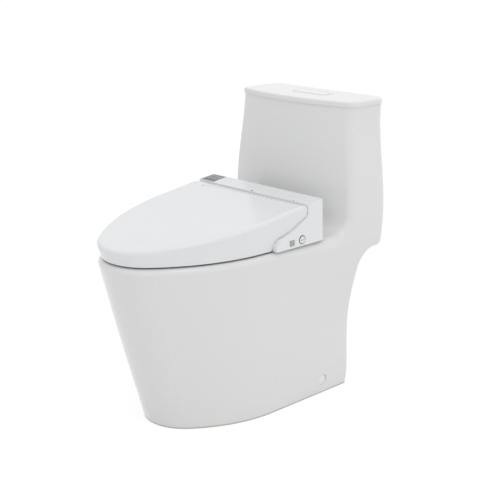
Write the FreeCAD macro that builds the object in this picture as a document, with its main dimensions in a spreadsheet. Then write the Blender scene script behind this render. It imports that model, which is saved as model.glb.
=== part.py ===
import FreeCAD, Part
import math
import os

from FreeCAD import Placement, Rotation, Vector

# A one-piece toilet with an electric bidet seat.
# Millimetres. +Z up, the front is -Y, +X is the sitter's left hand side.
# Origin: middle of the footprint box, on the floor.

SIZES = [
    # the whole object
    ("overall_depth", 710),
    ("overall_height", 715),
    # vitreous china body
    ("rim_height", 405),
    ("base_half_width", 151),
    ("rim_half_width", 185),
    ("tank_half_width", 199),
    ("tank_top_half_width", 183),
    ("base_tip_setback", 120),
    ("rim_tip_setback", 4),
    ("rim_nose_length", 298),
    ("base_nose_length", 240),
    ("neck_setback", 85),
    ("tank_depth", 155),
    ("tank_lean", 16),
    ("tank_bow", 17),
    ("ledge_radius", 42),
    ("tank_corner_radius", 26),
    ("rim_edge_radius", 12),
    ("tank_rear_radius", 36),
    ("underside_edge_radius", 12),
    ("underside_below_rim", 50),
    ("neck_radius", 45),
    ("ceramic_wall", 10),
    ("deck_thickness", 16),
    ("tank_floor_below_rim", 13),
    ("bowl_half_width", 113),
    ("bowl_length", 316),
    ("bowl_rear_offset", 12),
    ("bowl_floor_height", 170),
    ("trap_bore_radius", 27),
    ("trap_bend_radius", 48),
    ("outlet_setback", 295),
    ("outlet_lift", 10),
    ("duct_half_width", 34),
    ("duct_height", 18),
    ("side_fix_height", 36),
    ("side_fix_setback", 180),
    ("side_hole_radius", 9),
    ("side_cap_radius", 13),
    # tank lid and flush buttons
    ("tank_lid_thickness", 12),
    ("tank_lid_overhang", 3),
    ("flush_slot_length", 100),
    ("flush_slot_width", 35),
    ("flush_row_setback", 65),
    ("flush_travel", 6),
    # cistern fittings
    ("flush_hole_radius", 30),
    ("tower_height", 238),
    ("canister_radius", 19),
    ("fill_valve_offset", 130),
    ("fill_valve_setback", 55),
    ("fill_shank_radius", 10.48),
    ("fill_valve_height", 236),
    # bidet seat unit
    ("hinge_setback", 293),
    ("hinge_above_rim", 77),
    ("barrel_radius", 16.5),
    ("seam_gap", 1.0),
    ("unit_half_width", 188),
    ("unit_top_half_width", 184),
    ("unit_back_setback", 205),
    ("unit_wall", 3),
    ("unit_lift", 2.5),
    ("unit_travel", 50),
    ("cheek_thickness", 14),
    ("cheek_reach", 87),
    ("plate_half_width", 96),
    ("plate_depth", 50),
    ("deck_hole_half_spacing", 77.5),
    ("deck_hole_setback", 245),
    ("deck_hole_radius", 8),
    # seat ring and lid
    ("seat_lift", 8),
    ("seat_half_width", 167),
    ("seat_tip_setback", 21),
    ("seat_nose_length", 283),
    ("seat_hole_half_width", 105),
    ("seat_hole_length", 252),
    ("seat_hole_rear_offset", -28),
    ("seat_front_thickness", 18),
    ("seat_rear_thickness", 33),
    ("seat_wall", 3.5),
    ("lid_edge_above_rim", 4),
    ("lid_half_width", 174),
    ("lid_tip_setback", 14),
    ("lid_nose_length", 290),
    ("lid_flare", 13),
    ("lid_tip_flare", 40),
    ("lid_pitch", 7.8),
    ("lid_wall", 3),
    ("lid_crease_radius", 7),
    # spray nozzles
    ("nozzle_radius", 7),
    ("nozzle_length", 104),
    ("nozzle_pitch", 20),
    ("nozzle_half_spacing", 11),
    # clearances
    ("running_clearance", 0.06),
    ("rest_gap", 0.3),
]

doc = FreeCAD.newDocument("HeatedSeatToilet")
sheet = doc.addObject("Spreadsheet::Sheet", "Sizes")
for row, (alias, value) in enumerate(SIZES, start=1):
    sheet.set(f"A{row}", alias)
    sheet.set(f"B{row}", str(value))
    sheet.setAlias(f"B{row}", alias)
doc.recompute()

nodes = []


def dim(alias):
    """A driving size, read from the sheet."""
    return float(getattr(sheet, alias))


def bind(target, prop, expression):
    """Ties one property to the sheet; plain numbers are set as they are."""
    if isinstance(expression, str):
        target.setExpression(prop, expression)
    else:
        setattr(target, prop, expression)


def node(target, name):
    """Marks an object as a finished sub-part and names it."""
    target.Label = name
    nodes.append(target)
    return target


def feature(name, shape, place=None):
    """A sub-part or tool shape that is worked out from the sheet's values."""
    made = doc.addObject("Part::Feature", name)
    made.Shape = shape
    if place:
        made.Placement = place
    return made


# ---------------------------------------------------------------- places

FRONT = -dim("overall_depth") / 2
BACK = dim("overall_depth") / 2
RIM = dim("rim_height")
TANK_TOP = dim("overall_height") - dim("tank_lid_thickness")
NECK = BACK - dim("neck_setback")
OUTLET_Y = BACK - dim("outlet_setback")
FLUSH_Y = BACK - dim("flush_row_setback")
FILL_Y = BACK - dim("fill_valve_setback")
SIDE_FIX_Y = BACK - dim("side_fix_setback")
AXIS_Y = BACK - dim("hinge_setback")
AXIS_Z = RIM + dim("hinge_above_rim")
UNDERSIDE = RIM - dim("underside_below_rim")
TANK_FLOOR = RIM - dim("tank_floor_below_rim")
LID_LOW = RIM + dim("lid_edge_above_rim")
UNIT_BACK = BACK - dim("unit_back_setback")
UNIT_FRONT = AXIS_Y - dim("cheek_reach")
UNIT_BOTTOM = RIM + dim("unit_lift")
DECK_HOLE_Y = BACK - dim("deck_hole_setback")
BOWL_REAR = dim("bowl_rear_offset")
BOWL_MID = BOWL_REAR - dim("bowl_length") / 2
SEAT_BOTTOM = RIM + dim("seat_lift")
GAP = dim("rest_gap")


# ---------------------------------------------------------------- geometry helpers


def smooth(t):
    """Goes from 0 to 1 with level ends."""
    return t * t * (3 - 2 * t)


def side_face(steps, x=0.0):
    """A face in the YZ plane. Each step is a (y, z) corner, or an arc ((y, z) middle, (y, z) end)."""
    def place(pair):
        return Vector(x, pair[0], pair[1])

    here = place(steps[0])
    edges = []
    for step in steps[1:] + [steps[0]]:
        if isinstance(step[0], tuple):
            end = place(step[1])
            edges.append(Part.Arc(here, place(step[0]), end).toShape())
        else:
            end = place(step)
            if end.distanceToPoint(here) > 1e-6:
                edges.append(Part.makeLine(here, end))
        here = end
    return Part.Face(Part.Wire(edges))


def across(face, half):
    """Extrudes a side face both ways along X."""
    moved = face.copy()
    moved.translate(Vector(-half, 0, 0))
    return moved.extrude(Vector(2 * half, 0, 0))


def prism(steps, x0, x1):
    """A side outline extruded from x0 to x1."""
    return side_face(steps, x0).extrude(Vector(x1 - x0, 0, 0))


def block(x0, x1, y0, y1, z0, z1):
    """A box between two corners."""
    return Part.makeBox(x1 - x0, y1 - y0, z1 - z0, Vector(x0, y0, z0))


def rod(radius, start, end):
    """A cylinder from one point to another."""
    run = end - start
    return Part.makeCylinder(radius, run.Length, start, run)


def horseshoe(z, tip, half, length, rear_half, back, corner):
    """A plan outline: nose arc, side arcs, sides that ease to the rear width, rounded rear corners."""
    turn = math.radians(50)
    s = math.sin(turn)
    c = math.cos(turn)
    share = s * c - (1 - s) * (1 - c)
    nose = (half * c - length * (1 - s)) / share
    side = (length * s - half * (1 - c)) / share
    widest = tip + length
    joint = Vector(nose * s, tip + nose * (1 - c), z)
    middle = math.radians(70)
    bulge = Vector(half - side + side * math.sin(middle), widest - side * math.cos(middle), z)
    wide = Vector(half, widest, z)
    end = Vector(rear_half, back - corner, z)
    ease = (end.y - wide.y) * 0.4
    sway = Part.BezierCurve()
    sway.setPoles([wide, wide + Vector(0, ease, 0), end - Vector(0, ease, 0), end])
    right = [Part.Arc(joint, bulge, wide).toShape(), sway.toShape()]
    last = end
    if corner > 0:
        last = Vector(rear_half - corner, back, z)
        cut = corner * (1 - math.sin(math.radians(45)))
        right.append(Part.Arc(end, Vector(rear_half - cut, back - cut, z), last).toShape())
    far = Part.makeLine(last, Vector(-last.x, last.y, z))
    left = [mirror_x(edge) for edge in reversed(right)]
    front = Part.Arc(Vector(-joint.x, joint.y, z), Vector(0, tip, z), joint).toShape()
    return Part.Wire(right + [far] + left + [front])


def oval(z, middle, half_length, half_width):
    """An ellipse about x = 0, longer in depth than in width."""
    centre = Vector(0, middle, z)
    curve = Part.Ellipse(centre + Vector(0, half_length, 0), centre + Vector(half_width, 0, 0), centre)
    return Part.Wire([curve.toShape()])


def rounded_rectangle(x0, x1, y0, y1, z, radius):
    """A flat rectangular face with round corners."""
    outline = block(x0, x1, y0, y1, z, z + 1)
    upright = [e for e in outline.Edges if e.BoundBox.ZLength > 0.5]
    outline = outline.makeFillet(radius, upright)
    return [f for f in outline.Faces if f.BoundBox.ZMax < z + 1e-6][0]


def edges_where(shape, test):
    """The edges whose bounding box passes a test."""
    return [e for e in shape.Edges if test(e.BoundBox)]


def mirror_x(shape):
    """The same shape on the other side of the object."""
    return shape.mirror(Vector(0, 0, 0), Vector(1, 0, 0))


def pair(shape):
    """A shape and its mirror image as one group of two solids."""
    return Part.makeCompound([shape, mirror_x(shape)])


def polar(centre, radius, degrees):
    """A (y, z) point on a circle about a (y, z) centre; 0 degrees is +Y, 90 is +Z."""
    a = math.radians(degrees)
    return (centre[0] + radius * math.cos(a), centre[1] + radius * math.sin(a))


def body_sketch(name, role="XY_Plane"):
    """A new PartDesign body with an empty sketch on one of its own planes."""
    body = doc.addObject("PartDesign::Body", name + "_body")
    sketch = body.newObject("Sketcher::SketchObject", name + "_sketch")
    plane = [f for f in body.Origin.OriginFeatures if f.Role == role][0]
    sketch.AttachmentSupport = [(plane, "")]
    sketch.MapMode = "FlatFace"
    return body, sketch


def draw_polygon(sketch, points):
    """Closed straight outline in a sketch."""
    corners = [Vector(px, py, 0) for px, py in points]
    for i, corner in enumerate(corners):
        sketch.addGeometry(Part.LineSegment(corner, corners[(i + 1) % len(corners)]), False)


def draw_circle(sketch, x, y, radius):
    """Full circle in a sketch."""
    sketch.addGeometry(Part.Circle(Vector(x, y, 0), Vector(0, 0, 1), radius), False)


def turned(name, profile, x, y):
    """A turned piece: a (radius, height) outline revolved about an upright axis at x, y."""
    body, sketch = body_sketch(name, "XZ_Plane")
    draw_polygon(sketch, profile)
    turn = body.newObject("PartDesign::Revolution", name + "_turn")
    turn.Profile = sketch
    turn.ReferenceAxis = (sketch, ["V_Axis"])
    turn.Angle = 360.0
    body.Placement = Placement(Vector(x, y, 0), Rotation())
    return body


def pad_up(body, sketch, name, length):
    """Pads a sketch along its normal; the length may be an expression."""
    pad = body.newObject("PartDesign::Pad", name + "_pad")
    pad.Profile = sketch
    bind(pad, "Length", length)
    return pad


def lift_sketch(sketch, height):
    """Raises a sketch above the body's XY plane."""
    sketch.AttachmentOffset = Placement(Vector(0, 0, height), Rotation())


# ---------------------------------------------------------------- vitreous china body


def skirt_loft(inset):
    """The flowing side surface from the floor to the tank's top, drawn in by inset."""
    tip_low = FRONT + dim("base_tip_setback")
    tip_high = FRONT + dim("rim_tip_setback")
    base = dim("base_half_width")
    rim = dim("rim_half_width")
    tank = dim("tank_half_width")
    crown = dim("tank_top_half_width")
    nose_low = dim("base_nose_length") - inset
    nose_high = dim("rim_nose_length") - inset
    back = BACK - inset
    corner = dim("tank_rear_radius") - inset
    # share of the rim height, front width share, rear width share
    stations = [
        (0.0, 0.0, 0.0),
        (0.346, 0.36, 0.04),
        (0.617, 0.66, 0.31),
        (0.815, 0.82, 0.76),
        (1.0, 1.0, 1.0),
    ]
    wires = []
    for height, front_share, rear_share in stations:
        tip = tip_low + (tip_high - tip_low) * (height + 0.06 * height * (1 - height)) + inset
        half = base + (rim - base) * front_share - inset
        rear = base + (tank - base) * rear_share - inset
        length = nose_low + (nose_high - nose_low) * height
        wires.append(horseshoe(RIM * height, tip, half, length, rear, back, corner))
    slope = (tip_high - tip_low) / RIM
    for share, width_share in ((0.49, 0.56), (1.0, 0.0)):
        height = RIM + (TANK_TOP + 2 - RIM) * share
        half = crown + (tank - crown) * width_share - inset
        tip = tip_high + slope * (height - RIM) + inset
        wires.append(horseshoe(height, tip, half, nose_high + 60 * share, half, back, corner))
    return Part.makeLoft(wires, True, False)


def tank_front(z, x):
    """How far back the tank's bowed, leaning front lies at a height and a half width."""
    top = BACK - dim("tank_depth")
    lean = dim("tank_lean") * (TANK_TOP - z) / (TANK_TOP - RIM)
    return top - lean + dim("tank_bow") * (x / 140.0) ** 2


def tank_block(inset, bottom):
    """Everything behind the tank's front face, up to above the tank's top."""
    side = dim("tank_half_width") + 20
    wires = []
    for z in (bottom, TANK_TOP + 2):
        corner = tank_front(z, side) + inset
        start = Vector(-side, corner, z)
        end = Vector(side, corner, z)
        front = Part.Arc(start, Vector(0, tank_front(z, 0) + inset, z), end).toShape()
        far = BACK + 150
        outline = Part.makePolygon([end, Vector(side, far, z), Vector(-side, far, z), start])
        wires.append(Part.Wire([front] + outline.Edges))
    return Part.makeLoft(wires, True, True)


def rear_void():
    """The space behind the neck and under the tank, as a side outline."""
    under = UNDERSIDE
    neck_r = dim("neck_radius")
    neck_centre = (NECK + neck_r, under - neck_r)
    outline = [
        (NECK, -10),
        (NECK, under - neck_r),
        (polar(neck_centre, neck_r, 135), (NECK + neck_r, under)),
        (BACK + 300, under),
        (BACK + 300, -10),
    ]
    return across(side_face(outline), 300)


def china_outside():
    """Skirt, deck and tank as one closed outer form with its rounded edges."""
    lower = block(-300, 300, FRONT - 100, BACK + 100, 0, RIM)
    form = lower.fuse(tank_block(0.0, RIM - 60)).removeSplitter()
    tank_foot = edges_where(
        form,
        lambda b: abs(b.ZMin - RIM) < 1e-3 and abs(b.ZMax - RIM) < 1e-3
        and 0 < b.YMin and b.YMax < BACK + 50 and b.YLength > 1,
    )
    form = form.makeFillet(dim("ledge_radius"), tank_foot)
    form = form.cut(rear_void())
    form = form.cut(block(-300, 300, FRONT - 100, BACK + 100, TANK_TOP, TANK_TOP + 50))
    form = skirt_loft(0.0).common(form)
    blank = feature("china_blank", form)
    rounding = doc.addObject("Part::Fillet", "china_front_rounding")
    rounding.Base = blank
    corner = dim("tank_corner_radius")
    rim_edge = dim("rim_edge_radius")
    chosen = []
    for number, edge in enumerate(form.Edges, start=1):
        box = edge.BoundBox
        start = edge.valueAt(edge.FirstParameter).z
        end = edge.valueAt(edge.LastParameter).z
        on_side = box.XMin * box.XMax > 0
        if on_side and box.YMax < BACK - 60 and box.ZMin > RIM + 5:
            chosen.append((number, corner, corner))
        elif on_side and box.ZMin > RIM - 1 and 5 < box.ZLength < 100 and box.YMax < BACK - 60:
            if start > end:
                chosen.append((number, corner, rim_edge))
            else:
                chosen.append((number, rim_edge, corner))
        elif abs(box.ZMin - RIM) < 1e-3 and box.ZLength < 1e-3 and (on_side or box.YMin < 0):
            chosen.append((number, rim_edge, rim_edge))
    rounding.Edges = chosen
    doc.recompute()
    rounded = rounding.Shape
    under = UNDERSIDE

    def underside(b):
        beside = b.XMin * b.XMax > 0 and b.XLength < 60
        return b.YMin > NECK - 1 and b.ZMax < under + 1 and (beside or b.YMin > BACK - 1)

    return rounded.makeFillet(dim("underside_edge_radius"), edges_where(rounded, underside))


def bowl_form(wall):
    """The bowl's well, thickened by wall."""
    half_length = dim("bowl_length") / 2
    half_width = dim("bowl_half_width")
    floor = dim("bowl_floor_height")
    drop = RIM - floor
    # share of the depth, forward share of the middle, length share, width share
    stations = [
        (-0.01, 0.0, 1.0, 1.0),
        (0.28, 0.02, 0.92, 0.92),
        (0.62, 0.18, 0.64, 0.73),
        (0.87, 0.29, 0.38, 0.50),
        (1.0, 0.32, 0.27, 0.36),
    ]
    wires = []
    for depth, shift, long_share, wide_share in stations:
        z = RIM - drop * depth - (wall if depth > 0.9 else 0)
        middle = BOWL_MID + half_length * shift
        wires.append(oval(z, middle, half_length * long_share + wall, half_width * wide_share + wall))
    return Part.makeLoft(wires, True, False)


def trap_tube(radius, below):
    """The trapway: up out of the sump, over the weir and straight down to the outlet."""
    bend = dim("trap_bend_radius")
    centre = (OUTLET_Y - bend, 215.0)
    climb = 40.0
    start = polar(centre, bend, 90 + climb)
    reach = 99.0
    inlet = (
        start[0] - reach * math.cos(math.radians(climb)),
        start[1] - reach * math.sin(math.radians(climb)),
    )
    first = rod(radius, Vector(0, *inlet), Vector(0, *start))
    last = rod(radius, Vector(0, OUTLET_Y, centre[1]), Vector(0, OUTLET_Y, below))
    ring = Part.Wire([Part.makeCircle(radius, Vector(0, OUTLET_Y, centre[1]), Vector(0, 0, 1))])
    weir = Part.Face(ring).revolve(Vector(0, *centre), Vector(1, 0, 0), 90 + climb)
    return first.fuse([last, weir])


def china_hollows():
    """Every space inside the china: skirt, well, trapway, cistern, flush duct and holes."""
    wall = dim("ceramic_wall")
    deck_under = RIM - dim("deck_thickness")
    floor = TANK_FLOOR
    duct_top = floor - 8
    duct_low = duct_top - dim("duct_height")
    duct_half = dim("duct_half_width")
    ledge_start = tank_front(RIM, 0) - dim("ledge_radius")
    under = UNDERSIDE

    # the skirt's open underside, with the bowl, trapway and duct standing in it
    front_part = block(-300, 300, FRONT, ledge_start, -5, deck_under)
    rear_part = block(-300, 300, ledge_start - 1, NECK - wall, -5, under)
    hollow = skirt_loft(wall).common(front_part.fuse(rear_part))
    hollow = hollow.cut(bowl_form(wall + 1))
    hollow = hollow.cut(trap_tube(dim("trap_bore_radius") + wall, dim("outlet_lift")))
    duct_wall = block(-duct_half - 8, duct_half + 8, 0, ledge_start, duct_low - 9, RIM - 10)
    hollow = hollow.cut(duct_wall)

    cistern = skirt_loft(wall + 2).common(tank_block(wall + 2, floor - 10))
    cistern = cistern.common(block(-300, 300, FRONT, BACK, floor, TANK_TOP + 1))
    sharp = edges_where(cistern, lambda b: b.ZLength > 100 and b.XMin * b.XMax > 0 and b.YMax < BACK - 90)
    cistern = cistern.makeFillet(14, sharp)

    hole = dim("flush_hole_radius")
    duct = block(-duct_half, duct_half, BOWL_REAR - 14, FLUSH_Y + duct_half, duct_low, duct_top)
    flush_hole = rod(hole, Vector(0, FLUSH_Y, duct_low + 4), Vector(0, FLUSH_Y, floor + 4))

    fill_x = -dim("fill_valve_offset")
    fill_hole = rod(12, Vector(fill_x, FILL_Y, under - 30), Vector(fill_x, FILL_Y, floor + 4))
    fill_pocket = rod(26, Vector(fill_x, FILL_Y, under - 60), Vector(fill_x, FILL_Y, floor - 16))

    tools = [
        bowl_form(0.0),
        trap_tube(dim("trap_bore_radius"), -5),
        duct,
        flush_hole,
        cistern,
        fill_hole,
        fill_pocket,
        block(-75, 75, NECK - wall - 5, NECK + 20, -5, 180),
    ]
    for side in (-1, 1):
        x = side * dim("deck_hole_half_spacing")
        top = Vector(x, DECK_HOLE_Y, RIM + 5)
        tools.append(rod(dim("deck_hole_radius"), top, Vector(x, DECK_HOLE_Y, deck_under - 5)))
        inner = Vector(side * 110, SIDE_FIX_Y, dim("side_fix_height"))
        outer = Vector(side * 220, SIDE_FIX_Y, dim("side_fix_height"))
        spot = Vector(side * (dim("base_half_width") - 0.6), SIDE_FIX_Y, dim("side_fix_height"))
        tools.append(rod(dim("side_hole_radius"), inner, outer))
        tools.append(rod(dim("side_cap_radius") + GAP, spot, outer))
    return hollow, tools


def china_body():
    """One slip-cast piece: skirted pedestal, bowl, trapway and cistern."""
    shape = china_outside()
    hollow, tools = china_hollows()
    shape = shape.cut(hollow)
    for tool in tools:
        shape = shape.cut(tool)
    solids = sorted(shape.Solids, key=lambda s: s.Volume)
    return node(feature("ceramic_body", solids[-1]), "ceramic_body")


china_body()


# ---------------------------------------------------------------- tank lid and flush buttons


def tank_lid():
    """The loose china lid with its slot for the flush buttons and its locating ring."""
    over = dim("tank_lid_overhang")
    half = dim("tank_top_half_width") + over
    low = TANK_TOP + GAP
    front = tank_front(TANK_TOP, 0) - over
    corner = tank_front(TANK_TOP, half) - over
    body, sketch = body_sketch("tank_lid")
    lift_sketch(sketch, low)
    arc = Part.Arc(Vector(-half, corner, 0), Vector(0, front, 0), Vector(half, corner, 0))
    sketch.addGeometry(arc, False)
    rim = [(half, corner), (half, BACK), (-half, BACK), (-half, corner)]
    for (x0, y0), (x1, y1) in zip(rim, rim[1:]):
        sketch.addGeometry(Part.LineSegment(Vector(x0, y0, 0), Vector(x1, y1, 0)), False)
    pad = pad_up(body, sketch, "tank_lid", "Sizes.tank_lid_thickness - Sizes.rest_gap")
    doc.recompute()

    def upright(test):
        return [
            f"Edge{i}"
            for i, e in enumerate(pad.Shape.Edges, start=1)
            if e.BoundBox.ZLength > 5 and test(e.BoundBox.YMin)
        ]

    front_round = body.newObject("PartDesign::Fillet", "tank_lid_front_corners")
    front_round.Base = (pad, upright(lambda y: y < BACK - 5))
    bind(front_round, "Radius", "Sizes.tank_corner_radius + Sizes.tank_lid_overhang")
    doc.recompute()
    rear_round = body.newObject("PartDesign::Fillet", "tank_lid_rear_corners")
    names = [
        f"Edge{i}"
        for i, e in enumerate(front_round.Shape.Edges, start=1)
        if e.BoundBox.ZLength > 5 and e.BoundBox.YMin > BACK - 1
    ]
    rear_round.Base = (front_round, names)
    bind(rear_round, "Radius", "Sizes.tank_rear_radius + Sizes.tank_lid_overhang")
    doc.recompute()
    top_round = body.newObject("PartDesign::Fillet", "tank_lid_top_edge")
    names = [
        f"Edge{i}"
        for i, e in enumerate(rear_round.Shape.Edges, start=1)
        if e.BoundBox.ZMin > dim("overall_height") - 0.01
    ]
    top_round.Base = (rear_round, names)
    top_round.Radius = 5.0

    ring = body.newObject("Sketcher::SketchObject", "tank_lid_ring_sketch")
    plane = [f for f in body.Origin.OriginFeatures if f.Role == "XY_Plane"][0]
    ring.AttachmentSupport = [(plane, "")]
    ring.MapMode = "FlatFace"
    lift_sketch(ring, low)
    wide = half - 40
    near = tank_front(TANK_TOP, wide) + 24
    far = BACK - dim("ceramic_wall") - 8
    draw_polygon(ring, [(-wide, near), (wide, near), (wide, far), (-wide, far)])
    draw_polygon(
        ring,
        [(-wide + 7, near + 7), (wide - 7, near + 7), (wide - 7, far - 7), (-wide + 7, far - 7)],
    )
    ring_pad = pad_up(body, ring, "tank_lid_ring", 7.0)
    ring_pad.Reversed = True

    slot = body.newObject("Sketcher::SketchObject", "tank_lid_slot_sketch")
    slot.AttachmentSupport = [(plane, "")]
    slot.MapMode = "FlatFace"
    lift_sketch(slot, dim("overall_height"))
    a = dim("flush_slot_length") / 2
    b = dim("flush_slot_width") / 2
    draw_polygon(slot, [(-a, FLUSH_Y - b), (a, FLUSH_Y - b), (a, FLUSH_Y + b), (-a, FLUSH_Y + b)])
    cut = body.newObject("PartDesign::Pocket", "tank_lid_slot")
    cut.Profile = slot
    cut.Length = 40.0
    return node(body, "tank_lid")


def flush_frame():
    """The raised bezel that lines the lid's slot."""
    top = dim("overall_height")
    a = dim("flush_slot_length") / 2
    b = dim("flush_slot_width") / 2
    flange = rounded_rectangle(-a - 3, a + 3, FLUSH_Y - b - 3, FLUSH_Y + b + 3, top, 6)
    flange = flange.extrude(Vector(0, 0, 2.8))
    rim = edges_where(flange, lambda e: e.ZMin > top + 2.7)
    flange = flange.makeFillet(1.2, rim)
    sleeve = block(-a + GAP, a - GAP, FLUSH_Y - b + GAP, FLUSH_Y + b - GAP, top - 24, top + 1)
    opening = rounded_rectangle(-a + 3, a - 3, FLUSH_Y - b + 3, FLUSH_Y + b - 3, top - 30, 4)
    shape = flange.fuse(sleeve).cut(opening.extrude(Vector(0, 0, 60))).removeSplitter()
    return node(feature("flush_button_frame", shape), "flush_button_frame")


def flush_button(name, x0, x1, stem_x):
    """One push pad with its stem down to the flush valve."""
    top = dim("overall_height") + 2.2
    b = dim("flush_slot_width") / 2 - 3 - 0.4
    pad = rounded_rectangle(x0, x1, FLUSH_Y - b, FLUSH_Y + b, top - 7, 3.5)
    pad = pad.extrude(Vector(0, 0, 7))
    crown = edges_where(pad, lambda e: e.ZMin > top - 0.01)
    pad = pad.makeFillet(1.0, crown)
    tower_top = TANK_FLOOR + dim("tower_height") + 2
    stem_end = tower_top + dim("flush_travel") + 2
    stem = rod(4, Vector(stem_x, FLUSH_Y, stem_end), Vector(stem_x, FLUSH_Y, top - 6))
    foot = rod(7, Vector(stem_x, FLUSH_Y, stem_end), Vector(stem_x, FLUSH_Y, stem_end + 4))
    return node(feature(name, pad.fuse([stem, foot]).removeSplitter()), name)


def flush_buttons():
    """Full flush on the wider pad, half flush on the narrower one."""
    a = dim("flush_slot_length") / 2 - 3 - 0.4
    split = a - 36
    flush_button("full_flush_button", -a, split - 0.4, -16)
    flush_button("half_flush_button", split + 0.4, a, 16)


tank_lid()
flush_frame()
flush_buttons()


# ---------------------------------------------------------------- cistern fittings


def flush_valve():
    """Gasket, tower, lifting canister and its seal over the flush hole."""
    floor = TANK_FLOOR
    hole = dim("flush_hole_radius")
    tall = dim("tower_height")
    tube = dim("canister_radius")
    slide = dim("running_clearance")
    gasket = turned(
        "flush_valve_gasket",
        [(hole, floor), (hole + 8, floor), (hole + 8, floor + 2), (hole, floor + 2)],
        0,
        FLUSH_Y,
    )
    node(gasket, "flush_valve_gasket")

    seat_top = floor + 8
    base = [
        (24, floor - 6),
        (hole - 0.5, floor - 6),
        (hole - 0.5, floor + 2),
        (hole + 9, floor + 2),
        (hole + 9, floor + 6),
        (27, seat_top),
        (24, seat_top),
    ]
    tower = turned("flush_tower_base", base, 0, FLUSH_Y)
    collar_profile = [
        (15 + slide, floor + tall - 22),
        (31, floor + tall - 22),
        (31, floor + tall),
        (15 + slide, floor + tall),
    ]
    collar = turned("flush_tower_collar", collar_profile, 0, FLUSH_Y)
    doc.recompute()
    posts = []
    for i in range(4):
        turn = math.radians(45 + 90 * i)
        x = 30.5 * math.cos(turn)
        y = FLUSH_Y + 30.5 * math.sin(turn)
        posts.append(rod(3.2, Vector(x, y, floor + 3), Vector(x, y, floor + tall - 1)))
    pads = rod(34, Vector(0, FLUSH_Y, floor + tall - 4), Vector(0, FLUSH_Y, floor + tall + 2))
    tube_way = rod(15 + slide, Vector(0, FLUSH_Y, floor + tall - 6), Vector(0, FLUSH_Y, floor + tall + 4))
    whole = tower.Shape.fuse([collar.Shape, pads.cut(tube_way)] + posts).removeSplitter()
    node(feature("flush_valve_tower", whole), "flush_valve_tower")

    seal_low = seat_top + GAP
    seal = turned(
        "flush_valve_seal",
        [(tube - 3, seal_low), (26, seal_low), (26, seal_low + 3), (tube - 3, seal_low + 3)],
        0,
        FLUSH_Y,
    )
    node(seal, "flush_valve_seal")
    can = turned(
        "flush_canister",
        [
            (12.5, seal_low + 3),
            (tube + 5, seal_low + 3),
            (tube + 5, seal_low + 6),
            (tube, seal_low + 6),
            (tube, floor + 90),
            (15, floor + 96),
            (15, floor + tall - 12),
            (12.5, floor + tall - 12),
        ],
        0,
        FLUSH_Y,
    )
    node(can, "flush_canister")


def fill_valve():
    """Water inlet valve with its washer, nut and float cup."""
    floor = TANK_FLOOR
    shank = dim("fill_shank_radius")
    x = -dim("fill_valve_offset")
    tall = dim("fill_valve_height")
    pocket_top = floor - 16
    body = turned(
        "fill_valve_body",
        [
            (6, UNDERSIDE - 11),
            (shank, UNDERSIDE - 11),
            (shank, floor - 26),
            (shank - 0.48, floor - 26),
            (shank - 0.48, floor + 2),
            (20, floor + 2),
            (20, floor + 6),
            (13, floor + 9),
            (11, floor + 12),
            (11, floor + 34),
            (14, floor + 34),
            (14, floor + 37.7),
            (11, floor + 37.7),
            (11, floor + tall - 40),
            (20, floor + tall - 36),
            (22, floor + tall - 4),
            (18, floor + tall),
            (0, floor + tall),
            (0, floor + tall - 30),
            (6, floor + tall - 34),
        ],
        x,
        FILL_Y,
    )
    node(body, "fill_valve_body")
    washer = turned(
        "fill_valve_gasket",
        [(shank - 0.4, floor), (19, floor), (19, floor + 2), (shank - 0.4, floor + 2)],
        x,
        FILL_Y,
    )
    node(washer, "fill_valve_gasket")
    outside = Part.Face(
        Part.makePolygon(
            [
                Vector(x + 21 * math.cos(math.radians(60 * k)), FILL_Y + 21 * math.sin(math.radians(60 * k)), pocket_top - 9)
                for k in range(7)
            ]
        )
    )
    nut = outside.extrude(Vector(0, 0, 9))
    nut = nut.cut(rod(shank - 0.48, Vector(x, FILL_Y, pocket_top - 12), Vector(x, FILL_Y, pocket_top + 2)))
    node(feature("fill_valve_nut", nut), "fill_valve_nut")
    cup = turned(
        "fill_valve_float",
        [
            (11.3, floor + 38),
            (27, floor + 38),
            (28, floor + 86),
            (25, floor + 90),
            (11.3, floor + 90),
        ],
        x,
        FILL_Y,
    )
    node(cup, "fill_valve_float")


flush_valve()
fill_valve()


# ---------------------------------------------------------------- seat unit's mounting plate


def plate_span():
    """Front and rear edges of the mounting plate."""
    half = dim("plate_depth") / 2
    return DECK_HOLE_Y - half, DECK_HOLE_Y + half


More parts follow.
